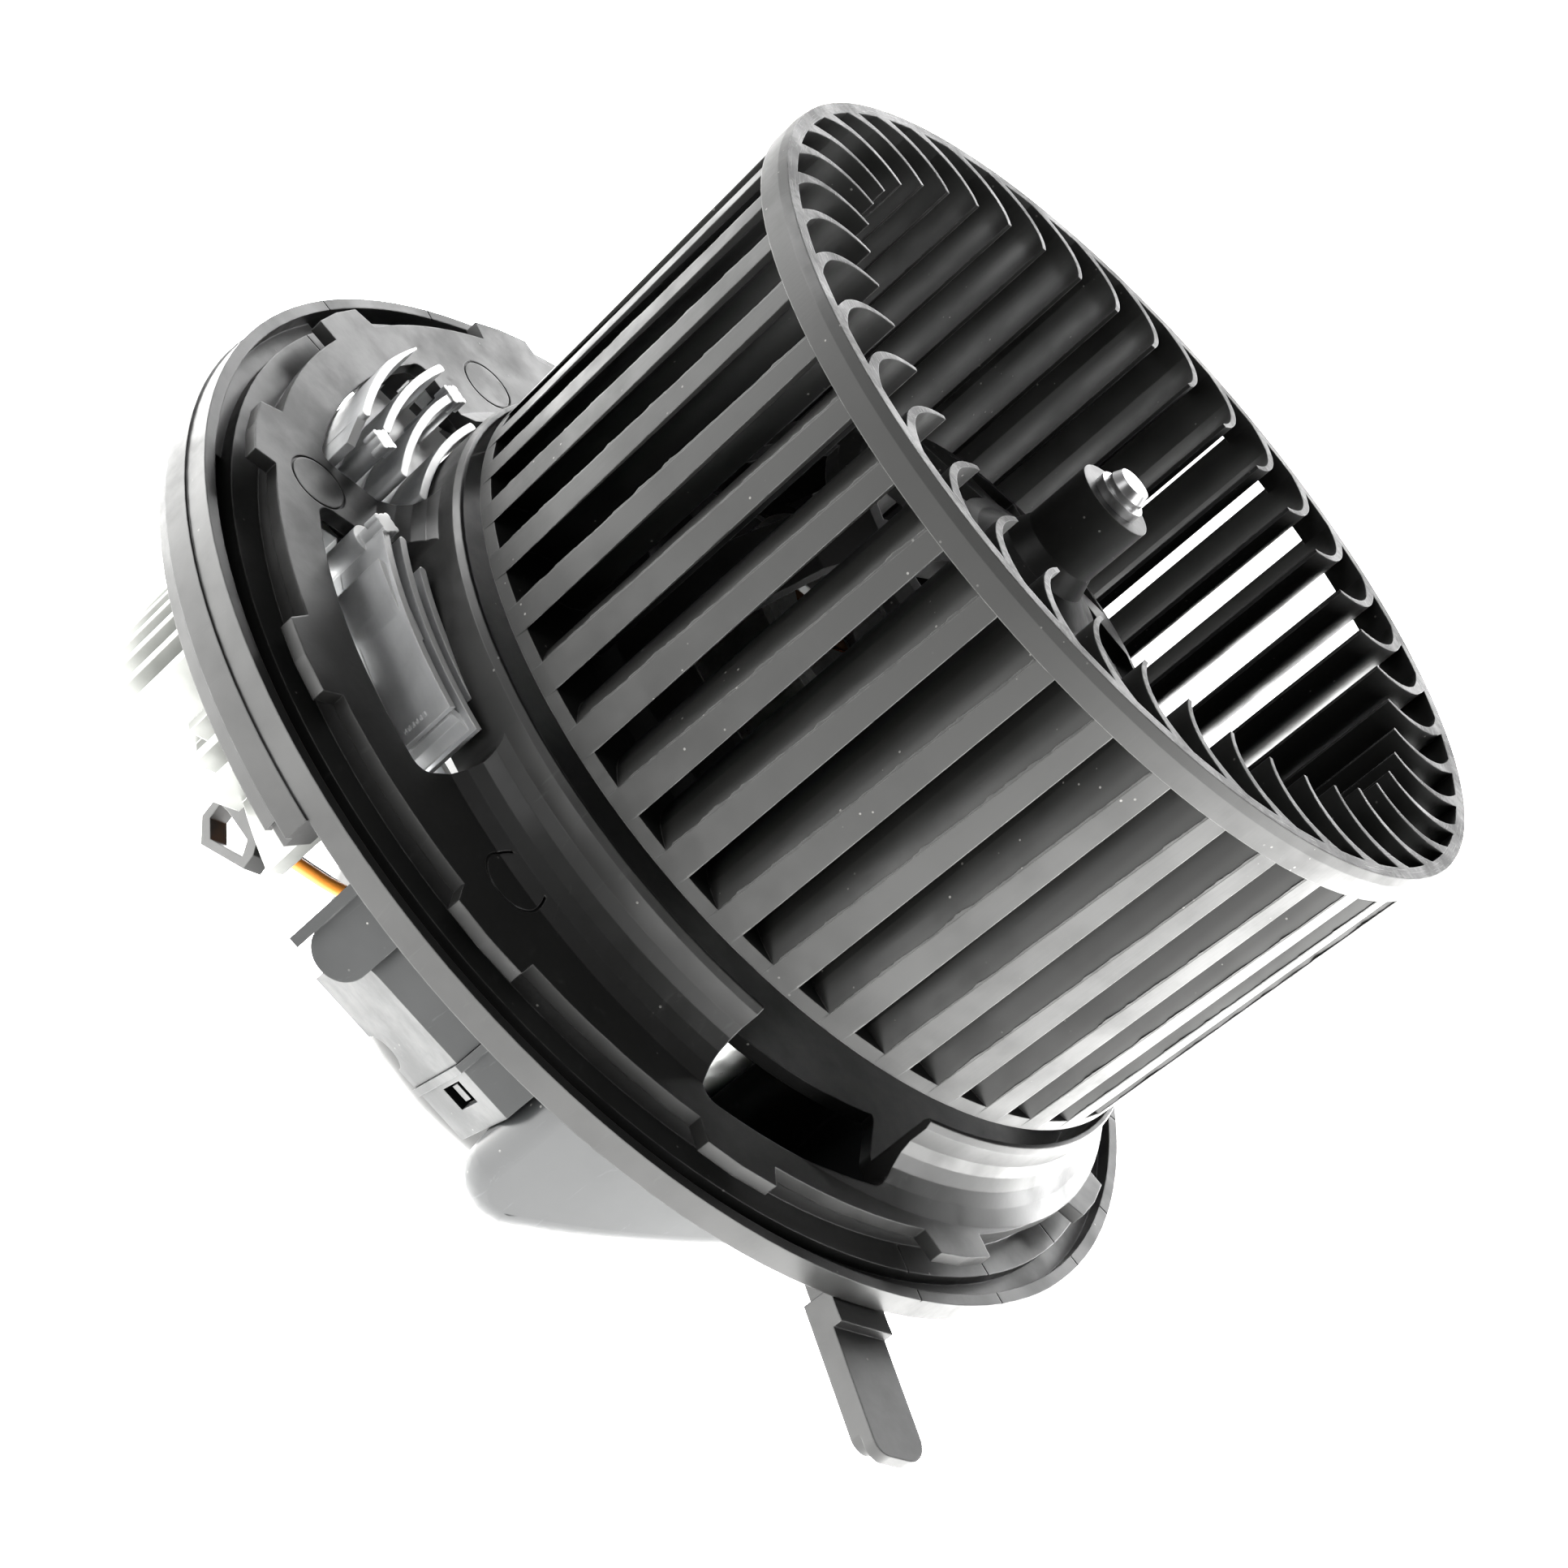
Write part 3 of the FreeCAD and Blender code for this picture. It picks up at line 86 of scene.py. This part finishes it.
# ------------------------------------------------------------------ node helpers
class Graph:
    """Short way to write a node tree: every call adds one node and returns its output."""

    def __init__(self, name):
        self.mat = bpy.data.materials.new(name)
        self.mat.use_nodes = True
        self.tree = self.mat.node_tree
        self.bsdf = self.tree.nodes["Principled BSDF"]
        self.co = self.tree.nodes.new("ShaderNodeTexCoord").outputs["Object"]
        self.geo = self.tree.nodes.new("ShaderNodeNewGeometry")

    def put(self, socket, value):
        if isinstance(value, bpy.types.NodeSocket):
            self.tree.links.new(value, socket)
        elif value is not None:
            socket.default_value = value

    def math(self, op, a, b=None, c=None, clamp=False):
        n = self.tree.nodes.new("ShaderNodeMath")
        n.operation = op
        n.use_clamp = clamp
        for i, v in enumerate((a, b, c)):
            self.put(n.inputs[i], v)
        return n.outputs[0]

    def scaled(self, sx, sy, sz, source=None):
        n = self.tree.nodes.new("ShaderNodeVectorMath")
        n.operation = "MULTIPLY"
        self.put(n.inputs[0], source or self.co)
        n.inputs[1].default_value = (sx, sy, sz)
        return n.outputs[0]

    def noise(self, scale, detail=3.0, rough=0.55, source=None, distort=0.0):
        n = self.tree.nodes.new("ShaderNodeTexNoise")
        self.put(n.inputs["Vector"], source or self.co)
        n.inputs["Scale"].default_value = scale
        n.inputs["Detail"].default_value = detail
        n.inputs["Roughness"].default_value = rough
        n.inputs["Distortion"].default_value = distort
        return n.outputs["Fac"]

    def cells(self, scale, source=None, feature="F1"):
        n = self.tree.nodes.new("ShaderNodeTexVoronoi")
        n.feature = feature
        self.put(n.inputs["Vector"], source or self.co)
        n.inputs["Scale"].default_value = scale
        return n.outputs["Distance"]

    def ramp(self, value, low, high, a=0.0, b=1.0):
        n = self.tree.nodes.new("ShaderNodeMapRange")
        n.interpolation_type = "SMOOTHSTEP"
        self.put(n.inputs["Value"], value)
        n.inputs["From Min"].default_value = low
        n.inputs["From Max"].default_value = high
        n.inputs["To Min"].default_value = a
        n.inputs["To Max"].default_value = b
        return n.outputs["Result"]

    def mix(self, fac, a, b):
        n = self.tree.nodes.new("ShaderNodeMix")
        n.data_type = "RGBA"
        self.put(n.inputs["Factor"], fac)
        for key, v in (("A", a), ("B", b)):
            s = [i for i in n.inputs if i.name == key and i.type == "RGBA"][0]
            if isinstance(v, bpy.types.NodeSocket):
                self.tree.links.new(v, s)
            else:
                s.default_value = (*v, 1.0)
        return [o for o in n.outputs if o.type == "RGBA"][0]

    def split(self, source=None):
        n = self.tree.nodes.new("ShaderNodeSeparateXYZ")
        self.put(n.inputs[0], source or self.co)
        return n.outputs

    def join(self, x, y, z):
        n = self.tree.nodes.new("ShaderNodeCombineXYZ")
        for i, v in enumerate((x, y, z)):
            self.put(n.inputs[i], v)
        return n.outputs[0]

    def bump(self, height, strength, distance, under=None):
        n = self.tree.nodes.new("ShaderNodeBump")
        n.inputs["Strength"].default_value = strength
        n.inputs["Distance"].default_value = distance
        self.put(n.inputs["Height"], height)
        if under is not None:
            self.put(n.inputs["Normal"], under)
        return n.outputs["Normal"]

    def soft_edge(self, radius):
        n = self.tree.nodes.new("ShaderNodeBevel")
        n.samples = 4
        n.inputs["Radius"].default_value = radius
        return n.outputs["Normal"]

    def edge_mask(self, soft):
        """0 on flat ground, towards 1 along sharp edges."""
        n = self.tree.nodes.new("ShaderNodeVectorMath")
        n.operation = "DOT_PRODUCT"
        self.put(n.inputs[0], soft)
        self.put(n.inputs[1], self.geo.outputs["True Normal"])
        return self.ramp(n.outputs["Value"], 0.97, 0.80)

    def polar(self, cx):
        """Radius and angle about the vertical axis through cx."""
        x, y, z = self.split()
        dx = self.math("SUBTRACT", x, cx)
        r = self.math("SQRT", self.math("ADD", self.math("MULTIPLY", dx, dx), self.math("MULTIPLY", y, y)))
        return r, self.math("ARCTAN2", y, dx), z

    def finish(self, colour, rough, normal, metal=0.0, specular=0.5):
        self.put(self.bsdf.inputs["Base Color"], colour)
        self.put(self.bsdf.inputs["Roughness"], rough)
        self.bsdf.inputs["Metallic"].default_value = metal
        self.bsdf.inputs["Specular IOR Level"].default_value = specular
        self.put(self.bsdf.inputs["Normal"], normal)
        return self.mat


def up_mask(g):
    """Where the surface faces up in the part's own frame."""
    n = g.tree.nodes.new("ShaderNodeVectorTransform")
    n.vector_type = "NORMAL"
    n.convert_from = "WORLD"
    n.convert_to = "OBJECT"
    g.put(n.inputs[0], g.geo.outputs["True Normal"])
    return g.ramp(g.split(n.outputs[0])[2], 0.75, 0.95)


# ------------------------------------------------------------------ materials
def moulded_plastic(name, dark, light, rough, specular=0.5):
    """Satin glass-filled plastic: fine grain, flow clouds, handling marks, dust specks, pale edges."""
    g = Graph(name)
    cloud = g.noise(34.0, 4.0, 0.6)
    fine = g.noise(2600.0, 2.0, 0.6)
    rub = g.noise(1.0, 5.0, 0.7, g.scaled(420.0, 160.0, 60.0), 1.2)
    marks = g.ramp(rub, 0.60, 0.72)
    speck_cell = g.cells(330.0)
    speck_keep = g.ramp(g.noise(90.0, 2.0), 0.56, 0.66)
    speck = g.math("MULTIPLY", g.ramp(speck_cell, 0.085, 0.05), speck_keep)
    soft = g.soft_edge(0.32 * MM)
    edge_wear_and_highlight = g.math("MULTIPLY", g.edge_mask(soft), g.ramp(g.noise(260.0, 3.0), 0.36, 0.62))
    colour = g.mix(cloud, dark, light)
    colour = g.mix(g.math("MULTIPLY", marks, 0.30), colour, tuple(min(1.0, c * 2.6) for c in light))
    colour = g.mix(g.math("MULTIPLY", edge_wear_and_highlight, 0.25), colour, (0.30, 0.30, 0.295))
    colour = g.mix(g.math("MULTIPLY", speck, 0.55), colour, (0.42, 0.41, 0.39))
    roughness = g.ramp(g.noise(55.0, 5.0, 0.65), 0.32, 0.70, rough[0], rough[1])
    roughness = g.math("ADD", roughness, g.math("MULTIPLY", marks, 0.10))
    under = g.bump(g.noise(620.0, 3.0, 0.6), 0.10, 0.10 * MM, soft)
    normal = g.bump(fine, 0.10, 0.04 * MM, under)
    normal = g.bump(speck, 0.5, 0.06 * MM, normal)
    return g.finish(colour, roughness, normal, specular=specular)


def wheel_plastic():
    """Wheel: as the mouldings; the ring's up-facing top face has turned scratches and rubbed patches painted
    pale, a painted highlight, and the blades' outer lands are painted lighter.
    """
    g = Graph("wheel_moulding")
    r, a, z = g.polar(WHEEL_X)
    cloud = g.noise(40.0, 4.0, 0.6)
    fine = g.noise(2300.0, 2.0, 0.6)
    draw = g.noise(1.0, 3.0, 0.6, g.scaled(900.0, 900.0, 34.0))
    up = g.math("MULTIPLY", up_mask(g), g.ramp(z, WHEEL_HIGH[2] - 0.6 * MM, WHEEL_HIGH[2] - 0.2 * MM))
    turn = g.noise(1.0, 3.0, 0.7, g.join(g.math("MULTIPLY", r, 5200.0), g.math("MULTIPLY", a, 9.0), 0.0))
    turn = g.ramp(turn, 0.56, 0.70)
    rubbed_and_sheen = g.ramp(g.noise(120.0, 5.0, 0.7), 0.44, 0.66)
    land = g.ramp(r, 73.2 * MM, 74.4 * MM)
    soft = g.soft_edge(0.28 * MM)
    edge_wear_and_highlight = g.math("MULTIPLY", g.edge_mask(soft), g.ramp(g.noise(420.0, 3.0), 0.30, 0.56))
    speck = g.math("MULTIPLY", g.ramp(g.cells(420.0), 0.10, 0.06), g.ramp(g.noise(70.0, 2.0), 0.52, 0.62))
    colour = g.mix(cloud, (0.008, 0.008, 0.0077), (0.017, 0.017, 0.0163))
    # painted highlight: the blades' outer lands made lighter than the wheel's shaded inside
    colour = g.mix(g.math("MULTIPLY", land, 0.50), colour, (0.034, 0.034, 0.033))
    # painted highlight: the ring's up-facing top made pale grey through its rubbed patches and turned
    # scratches
    colour = g.mix(g.math("MULTIPLY", up, g.math("MULTIPLY", rubbed_and_sheen, 0.85)), colour, (0.26, 0.26, 0.255))
    colour = g.mix(g.math("MULTIPLY", up, g.math("MULTIPLY", turn, 0.65)), colour, (0.46, 0.455, 0.44))
    colour = g.mix(g.math("MULTIPLY", edge_wear_and_highlight, 0.40), colour, (0.36, 0.36, 0.35))
    colour = g.mix(g.math("MULTIPLY", speck, 0.5), colour, (0.40, 0.39, 0.37))
    rough = g.ramp(g.noise(70.0, 5.0, 0.65), 0.32, 0.70, 0.36, 0.54)
    rough = g.math("ADD", rough, g.math("MULTIPLY", up, 0.06))
    normal = g.bump(draw, 0.22, 0.10 * MM, soft)
    normal = g.bump(fine, 0.10, 0.04 * MM, normal)
    normal = g.bump(g.math("MULTIPLY", turn, up), 0.35, -0.05 * MM, normal)
    return g.finish(colour, rough, normal, specular=0.40)


def cast_aluminium():
    """Die casting: pale skin with flow streaks, grey stains and a fine orange-peel; painted shade darkens it
    under the deck, and painted highlight makes the up-facing tops and the edges near white.
    """
    g = Graph("die_cast_aluminium")
    peel = g.noise(900.0, 4.0, 0.6)
    flow = g.noise(1.0, 5.0, 0.65, g.scaled(120.0, 120.0, 420.0), 0.8)
    stain = g.ramp(g.noise(160.0, 5.0, 0.7), 0.48, 0.72)
    pits = g.ramp(g.cells(900.0), 0.16, 0.08)
    soft = g.soft_edge(0.30 * MM)
    edge_wear_and_highlight = g.edge_mask(soft)
    up = up_mask(g)
    colour = g.mix(flow, (0.46, 0.47, 0.48), (0.60, 0.605, 0.61))
    colour = g.mix(g.math("MULTIPLY", stain, 0.22), colour, (0.33, 0.33, 0.33))
    # painted shade: the casting made darker below the deck, down to 9 mm under it
    colour = g.mix(g.ramp(g.split()[2], -3.0 * MM, -9.0 * MM, 0.0, 0.85), colour, (0.19, 0.195, 0.18))
    # painted highlight: up-facing tops made near white
    colour = g.mix(g.math("MULTIPLY", up, 0.85), colour, (0.93, 0.93, 0.92))
    # painted highlight: every edge made near white
    colour = g.mix(g.math("MULTIPLY", edge_wear_and_highlight, 0.6), colour, (0.93, 0.93, 0.92))
    rough = g.ramp(g.noise(240.0, 4.0, 0.6), 0.30, 0.70, 0.34, 0.50)
    normal = g.bump(peel, 0.10, 0.035 * MM, soft)
    normal = g.bump(pits, 0.12, -0.03 * MM, normal)
    return g.finish(colour, rough, normal, metal=0.40)


def metal(name, dark, light, rough, grain=(60.0, 60.0, 2400.0), bump=0.12, stain=(0.2, 0.18, 0.15), much=0.35):
    """Drawn, ground or plated metal with fine lines, clouded polish and a little staining."""
    g = Graph(name)
    lines = g.noise(1.0, 3.0, 0.6, g.scaled(*grain))
    cloud = g.noise(180.0, 5.0, 0.65)
    spots = g.ramp(g.noise(520.0, 4.0, 0.7), 0.60, 0.74)
    soft = g.soft_edge(0.15 * MM)
    colour = g.mix(cloud, dark, light)
    colour = g.mix(g.math("MULTIPLY", spots, much), colour, stain)
    roughness = g.math("ADD", g.ramp(cloud, 0.3, 0.7, rough[0], rough[1]), g.math("MULTIPLY", lines, 0.08))
    normal = g.bump(lines, bump, 0.05 * MM, soft)
    return g.finish(colour, roughness, normal, metal=1.0)


def insulation(name, dark, light):
    """Extruded wire skin: slight length streaks, dust and a waxy gloss."""
    g = Graph(name)
    streak = g.noise(1.0, 4.0, 0.6, g.scaled(300.0, 300.0, 1500.0))
    cloud = g.noise(240.0, 3.0)
    dirt = g.ramp(g.noise(420.0, 5.0, 0.7), 0.58, 0.74)
    colour = g.mix(cloud, dark, light)
    colour = g.mix(g.math("MULTIPLY", dirt, 0.35), colour, tuple(c * 0.45 for c in dark))
    rough = g.ramp(streak, 0.3, 0.7, 0.30, 0.48)
    return g.finish(colour, rough, g.bump(streak, 0.15, 0.05 * MM), specular=0.5)


def board():
    """Green solder mask over tracks."""
    g = Graph("solder_mask")
    tracks = g.ramp(g.cells(260.0, feature="DISTANCE_TO_EDGE"), 0.02, 0.06)
    cloud = g.noise(300.0, 3.0)
    colour = g.mix(tracks, (0.055, 0.22, 0.085), (0.020, 0.105, 0.040))
    colour = g.mix(g.math("MULTIPLY", cloud, 0.3), colour, (0.03, 0.15, 0.06))
    return g.finish(colour, g.ramp(cloud, 0.3, 0.7, 0.22, 0.36), g.bump(tracks, 0.3, 0.03 * MM))


def windings():
    """Enamelled copper laid in turns."""
    g = Graph("enamelled_wire")
    x, y, z = g.split()
    turns = g.math("SINE", g.math("MULTIPLY", g.math("ADD", x, g.math("MULTIPLY", y, 0.8)), 9000.0))
    cloud = g.noise(400.0, 4.0)
    colour = g.mix(cloud, (0.50, 0.19, 0.07), (0.80, 0.40, 0.19))
    # painted shade: the grooves between the turns made near black
    colour = g.mix(g.ramp(turns, -1.0, -0.4, 0.6, 0.0), colour, (0.10, 0.03, 0.01))
    return g.finish(colour, g.ramp(cloud, 0.3, 0.7, 0.22, 0.36), g.bump(turns, 0.6, 0.12 * MM), metal=0.85)


def dull(name, dark, light, rough=(0.6, 0.8), scale=400.0, bump=0.3):
    g = Graph(name)
    cloud = g.noise(scale, 5.0, 0.65)
    fine = g.noise(scale * 5.0, 3.0)
    soft = g.soft_edge(0.2 * MM)
    colour = g.mix(cloud, dark, light)
    colour = g.mix(g.math("MULTIPLY", g.edge_mask(soft), 0.3), colour, tuple(min(1.0, c * 3.0) for c in light))
    return g.finish(colour, g.ramp(cloud, 0.3, 0.7, rough[0], rough[1]), g.bump(fine, bump, 0.05 * MM, soft))


FINISHES = {
    "housing_plastic": moulded_plastic("flange_moulding", (0.010, 0.010, 0.0097), (0.022, 0.022, 0.0215),
                                       (0.30, 0.50)),
    "wheel_plastic": wheel_plastic(),
    "cast_aluminium": cast_aluminium(),
    "zinc_steel": metal("zinc_plate", (0.50, 0.51, 0.50), (0.72, 0.73, 0.72), (0.24, 0.40)),
    "spring_steel": metal("spring_steel", (0.42, 0.42, 0.42), (0.62, 0.62, 0.61), (0.20, 0.34)),
    "bright_steel": metal("ground_steel", (0.36, 0.36, 0.365), (0.56, 0.56, 0.56), (0.24, 0.36), much=0.15),
    "tinned_brass": metal("tinned_terminal", (0.60, 0.52, 0.34), (0.78, 0.72, 0.52), (0.20, 0.34)),
    "sintered_bronze": metal("sintered_bush", (0.36, 0.24, 0.13), (0.52, 0.37, 0.20), (0.42, 0.60), bump=0.4),
    "circuit_board": board(),
    "component_plastic": dull("epoxy_case", (0.018, 0.018, 0.018), (0.034, 0.034, 0.033), (0.34, 0.5)),
    "black_rubber": dull("rubber_black", (0.016, 0.016, 0.016), (0.030, 0.029, 0.028), (0.62, 0.82)),
    "ferrite": dull("ferrite_block", (0.035, 0.036, 0.038), (0.075, 0.075, 0.076), (0.4, 0.6)),
    "phenolic_board": dull("phenolic_sheet", (0.13, 0.065, 0.030), (0.21, 0.11, 0.055), (0.4, 0.6)),
    "carbon": dull("carbon_block", (0.022, 0.022, 0.023), (0.05, 0.05, 0.052), (0.35, 0.55)),
    "copper_wire": windings(),
    "orange_insulation": insulation("lead_skin_orange", (0.70, 0.21, 0.02), (0.88, 0.34, 0.05)),
    "black_insulation": insulation("lead_skin_black", (0.018, 0.018, 0.018), (0.036, 0.035, 0.034)),
    "lamination_steel": metal("lamination_stack", (0.20, 0.20, 0.20), (0.36, 0.36, 0.36), (0.38, 0.55),
                              bump=0.5),
}

# the mouldings under the flange: the regulator's comes from another tool and is matt; the duct's is the
# flange's black plastic painted paler, a painted highlight for its strongly lit underside
MATT_AND_PAINTED_LIGHT_MOULDINGS = {
    "regulator_housing": moulded_plastic("regulator_moulding", (0.020, 0.021, 0.021), (0.036, 0.037, 0.038),
                                         (0.50, 0.66), specular=0.22),
    # painted highlight: the duct's plastic made paler than the flange's
    "cooling_duct": moulded_plastic("duct_moulding", (0.026, 0.027, 0.028), (0.046, 0.048, 0.050),
                                    (0.34, 0.50)),
}
MATT_AND_PAINTED_LIGHT_MOULDINGS["regulator_cover"] = MATT_AND_PAINTED_LIGHT_MOULDINGS["regulator_housing"]

slot_of = {s["node"]: s["material_slot"] for s in frame["record"]["subparts"]}
for node, obj in frame["nodes"].items():
    material = MATT_AND_PAINTED_LIGHT_MOULDINGS.get(node, FINISHES[slot_of[node]])
    obj.data.materials.clear()
    obj.data.materials.append(material)


# ------------------------------------------------------------------ moulding flash on the blades
def blade_flash():
    """Torn parting-line flash down one edge of each blade's outer land."""
    rng = random.Random(41)
    mesh = bpy.data.meshes.new("blade_flash")
    bm = bmesh.new()
    low = WHEEL_LOW[2] + 3.2 * MM
    high = WHEEL_HIGH[2] - 5.6 * MM
    steps = 120
    root = 0.0016               # radians the strip reaches back into the land
    thick = 0.10 * MM
    for k in range(BLADES):
        tip = math.radians(FIRST_TIP + 360.0 / BLADES * k)
        previous = None
        tear = 0.0
        for i in range(steps + 1):
            t = i / steps
            z = low + (high - low) * t
            r = (73.98 + 1.36 * t) * MM         # the lands stand out further towards the ring
            edge = tip + math.radians(4.10 + 1.10 * t)
            tear = 0.72 * tear + 0.28 * rng.random() * (1.0 + 1.4 * (rng.random() > 0.86))
            width = (0.10 + 0.42 * tear) * MM
            a0 = edge + root
            a1 = edge - width / r
            section = []
            for angle, rr in ((a0, r - thick), (a0, r), (a1, r - 0.03 * MM), (a1, r - thick)):
                section.append(bm.verts.new((WHEEL_X + rr * math.cos(angle), rr * math.sin(angle), z)))
            if previous:
                for j in range(4):
                    after = (j + 1) % 4
                    bm.faces.new((previous[j], previous[after], section[after], section[j]))
            else:
                bm.faces.new(section[::-1])
            previous = section
        bm.faces.new(previous)
    bmesh.ops.recalc_face_normals(bm, faces=bm.faces)
    bm.to_mesh(mesh)
    bm.free()
    obj = bpy.data.objects.new("blade_flash", mesh)
    bpy.context.collection.objects.link(obj)
    obj.data.materials.append(FINISHES["wheel_plastic"])
    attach(obj, "rotor")


blade_flash()


# ------------------------------------------------------------------ floor, light, camera
def floor():
    g = Graph("studio_floor")
    cloud = g.noise(3.0, 3.0, 0.5)
    colour = g.mix(cloud, (0.90, 0.90, 0.895), (0.94, 0.94, 0.935))
    g.finish(colour, g.ramp(cloud, 0.3, 0.7, 0.55, 0.7), g.bump(g.noise(60.0, 3.0), 0.02, 0.3 * MM))
    g.bsdf.inputs["Emission Color"].default_value = (1.0, 1.0, 0.985, 1.0)
    x, y, z = g.split()
    ahead = g.math("ADD", y, g.math("MULTIPLY", x, 0.35))
    near = g.ramp(ahead, -0.40, -0.17, FLOOR_GLOW[0], FLOOR_GLOW[1])
    right = g.ramp(x, 0.10, 0.45, 0.0, FLOOR_GLOW_RIGHT)
    left = g.ramp(x, -0.34, -0.14, FLOOR_GLOW_LEFT, 1.0)
    far = g.ramp(y, 0.24, 0.44, 1.0, FLOOR_GLOW_FAR)
    glow = g.math("MULTIPLY", g.math("MULTIPLY", g.math("ADD", near, right), left), far)
    g.put(g.bsdf.inputs["Emission Strength"], g.math("MAXIMUM", glow, FLOOR_GLOW[0]))
    mesh = bpy.data.meshes.new("studio_floor")
    corners = [(x * FLOOR_HALF, y * FLOOR_HALF, FLOOR_Z) for x, y in ((-1, -1), (1, -1), (1, 1), (-1, 1))]
    mesh.from_pydata(corners, [], [(0, 1, 2, 3)])
    obj = bpy.data.objects.new("studio_floor", mesh)
    bpy.context.collection.objects.link(obj)
    obj.data.materials.append(g.mat)


def lamp(name, place, aim, size, power):
    light = bpy.data.lights.new(name, "AREA")
    light.shape = "RECTANGLE"
    light.size, light.size_y = size
    light.energy = power
    obj = bpy.data.objects.new(name, light)
    obj.location = place
    obj.rotation_euler = (Vector(aim) - Vector(place)).to_track_quat("-Z", "Y").to_euler()
    bpy.context.collection.objects.link(obj)


def world():
    """White near the horizon, where the floor ends, and dark above."""
    w = bpy.data.worlds.new("studio")
    w.use_nodes = True
    bpy.context.scene.world = w
    back = w.node_tree.nodes["Background"]
    back.inputs["Color"].default_value = (1.0, 1.0, 1.0, 1.0)
    where = w.node_tree.nodes.new("ShaderNodeTexCoord")
    parts = w.node_tree.nodes.new("ShaderNodeSeparateXYZ")
    fall = w.node_tree.nodes.new("ShaderNodeMapRange")
    fall.interpolation_type = "SMOOTHSTEP"
    w.node_tree.links.new(where.outputs["Generated"], parts.inputs[0])
    w.node_tree.links.new(parts.outputs["Z"], fall.inputs["Value"])
    for key, value in (("From Min", 0.16), ("From Max", 0.30), ("To Min", HORIZON), ("To Max", SKY)):
        fall.inputs[key].default_value = value
    w.node_tree.links.new(fall.outputs["Result"], back.inputs["Strength"])


def camera():
    cam = bpy.data.cameras.new("camera")
    cam.sensor_width = 36.0
    cam.lens = 79.0
    cam.clip_start = 0.01
    obj = bpy.data.objects.new("camera", cam)
    right = Vector((0.69734, 0.17352, 0.69542))
    up = Vector((-0.69258, 0.41293, 0.59146))
    back = Vector((-0.18453, -0.89408, 0.40813))
    turn = Matrix((right, up, back)).transposed().to_4x4()
    obj.matrix_world = Matrix.Translation((-0.0930, -0.5027, 0.2396)) @ turn
    bpy.context.collection.objects.link(obj)
    bpy.context.scene.camera = obj


floor()
world()
lamp("back_strip", (0.35, 2.4, 0.66), (0, 0, 0.02), (4.2, 0.85), 90.0)
lamp("back_right", (1.7, 1.5, 0.45), (0, 0, 0.03), (1.2, 0.6), 25.0)
lamp("right_soft", (1.2, -0.5, 0.35), (0, 0, 0.02), (0.8, 0.5), 10.0)
lamp("top_soft", (-0.5, -0.2, 1.5), (0, 0, 0), (0.9, 0.9), 2.0)
lamp("left_rim", (-0.9, 0.25, -0.02), (0, 0, -0.02), (0.5, 0.10), 3.0)
lamp("left_front", (-0.7, -0.5, 0.5), (-0.07, 0, 0), (0.35, 0.35), 1.2)
camera()
bpy.context.scene.view_settings.view_transform = "Standard"
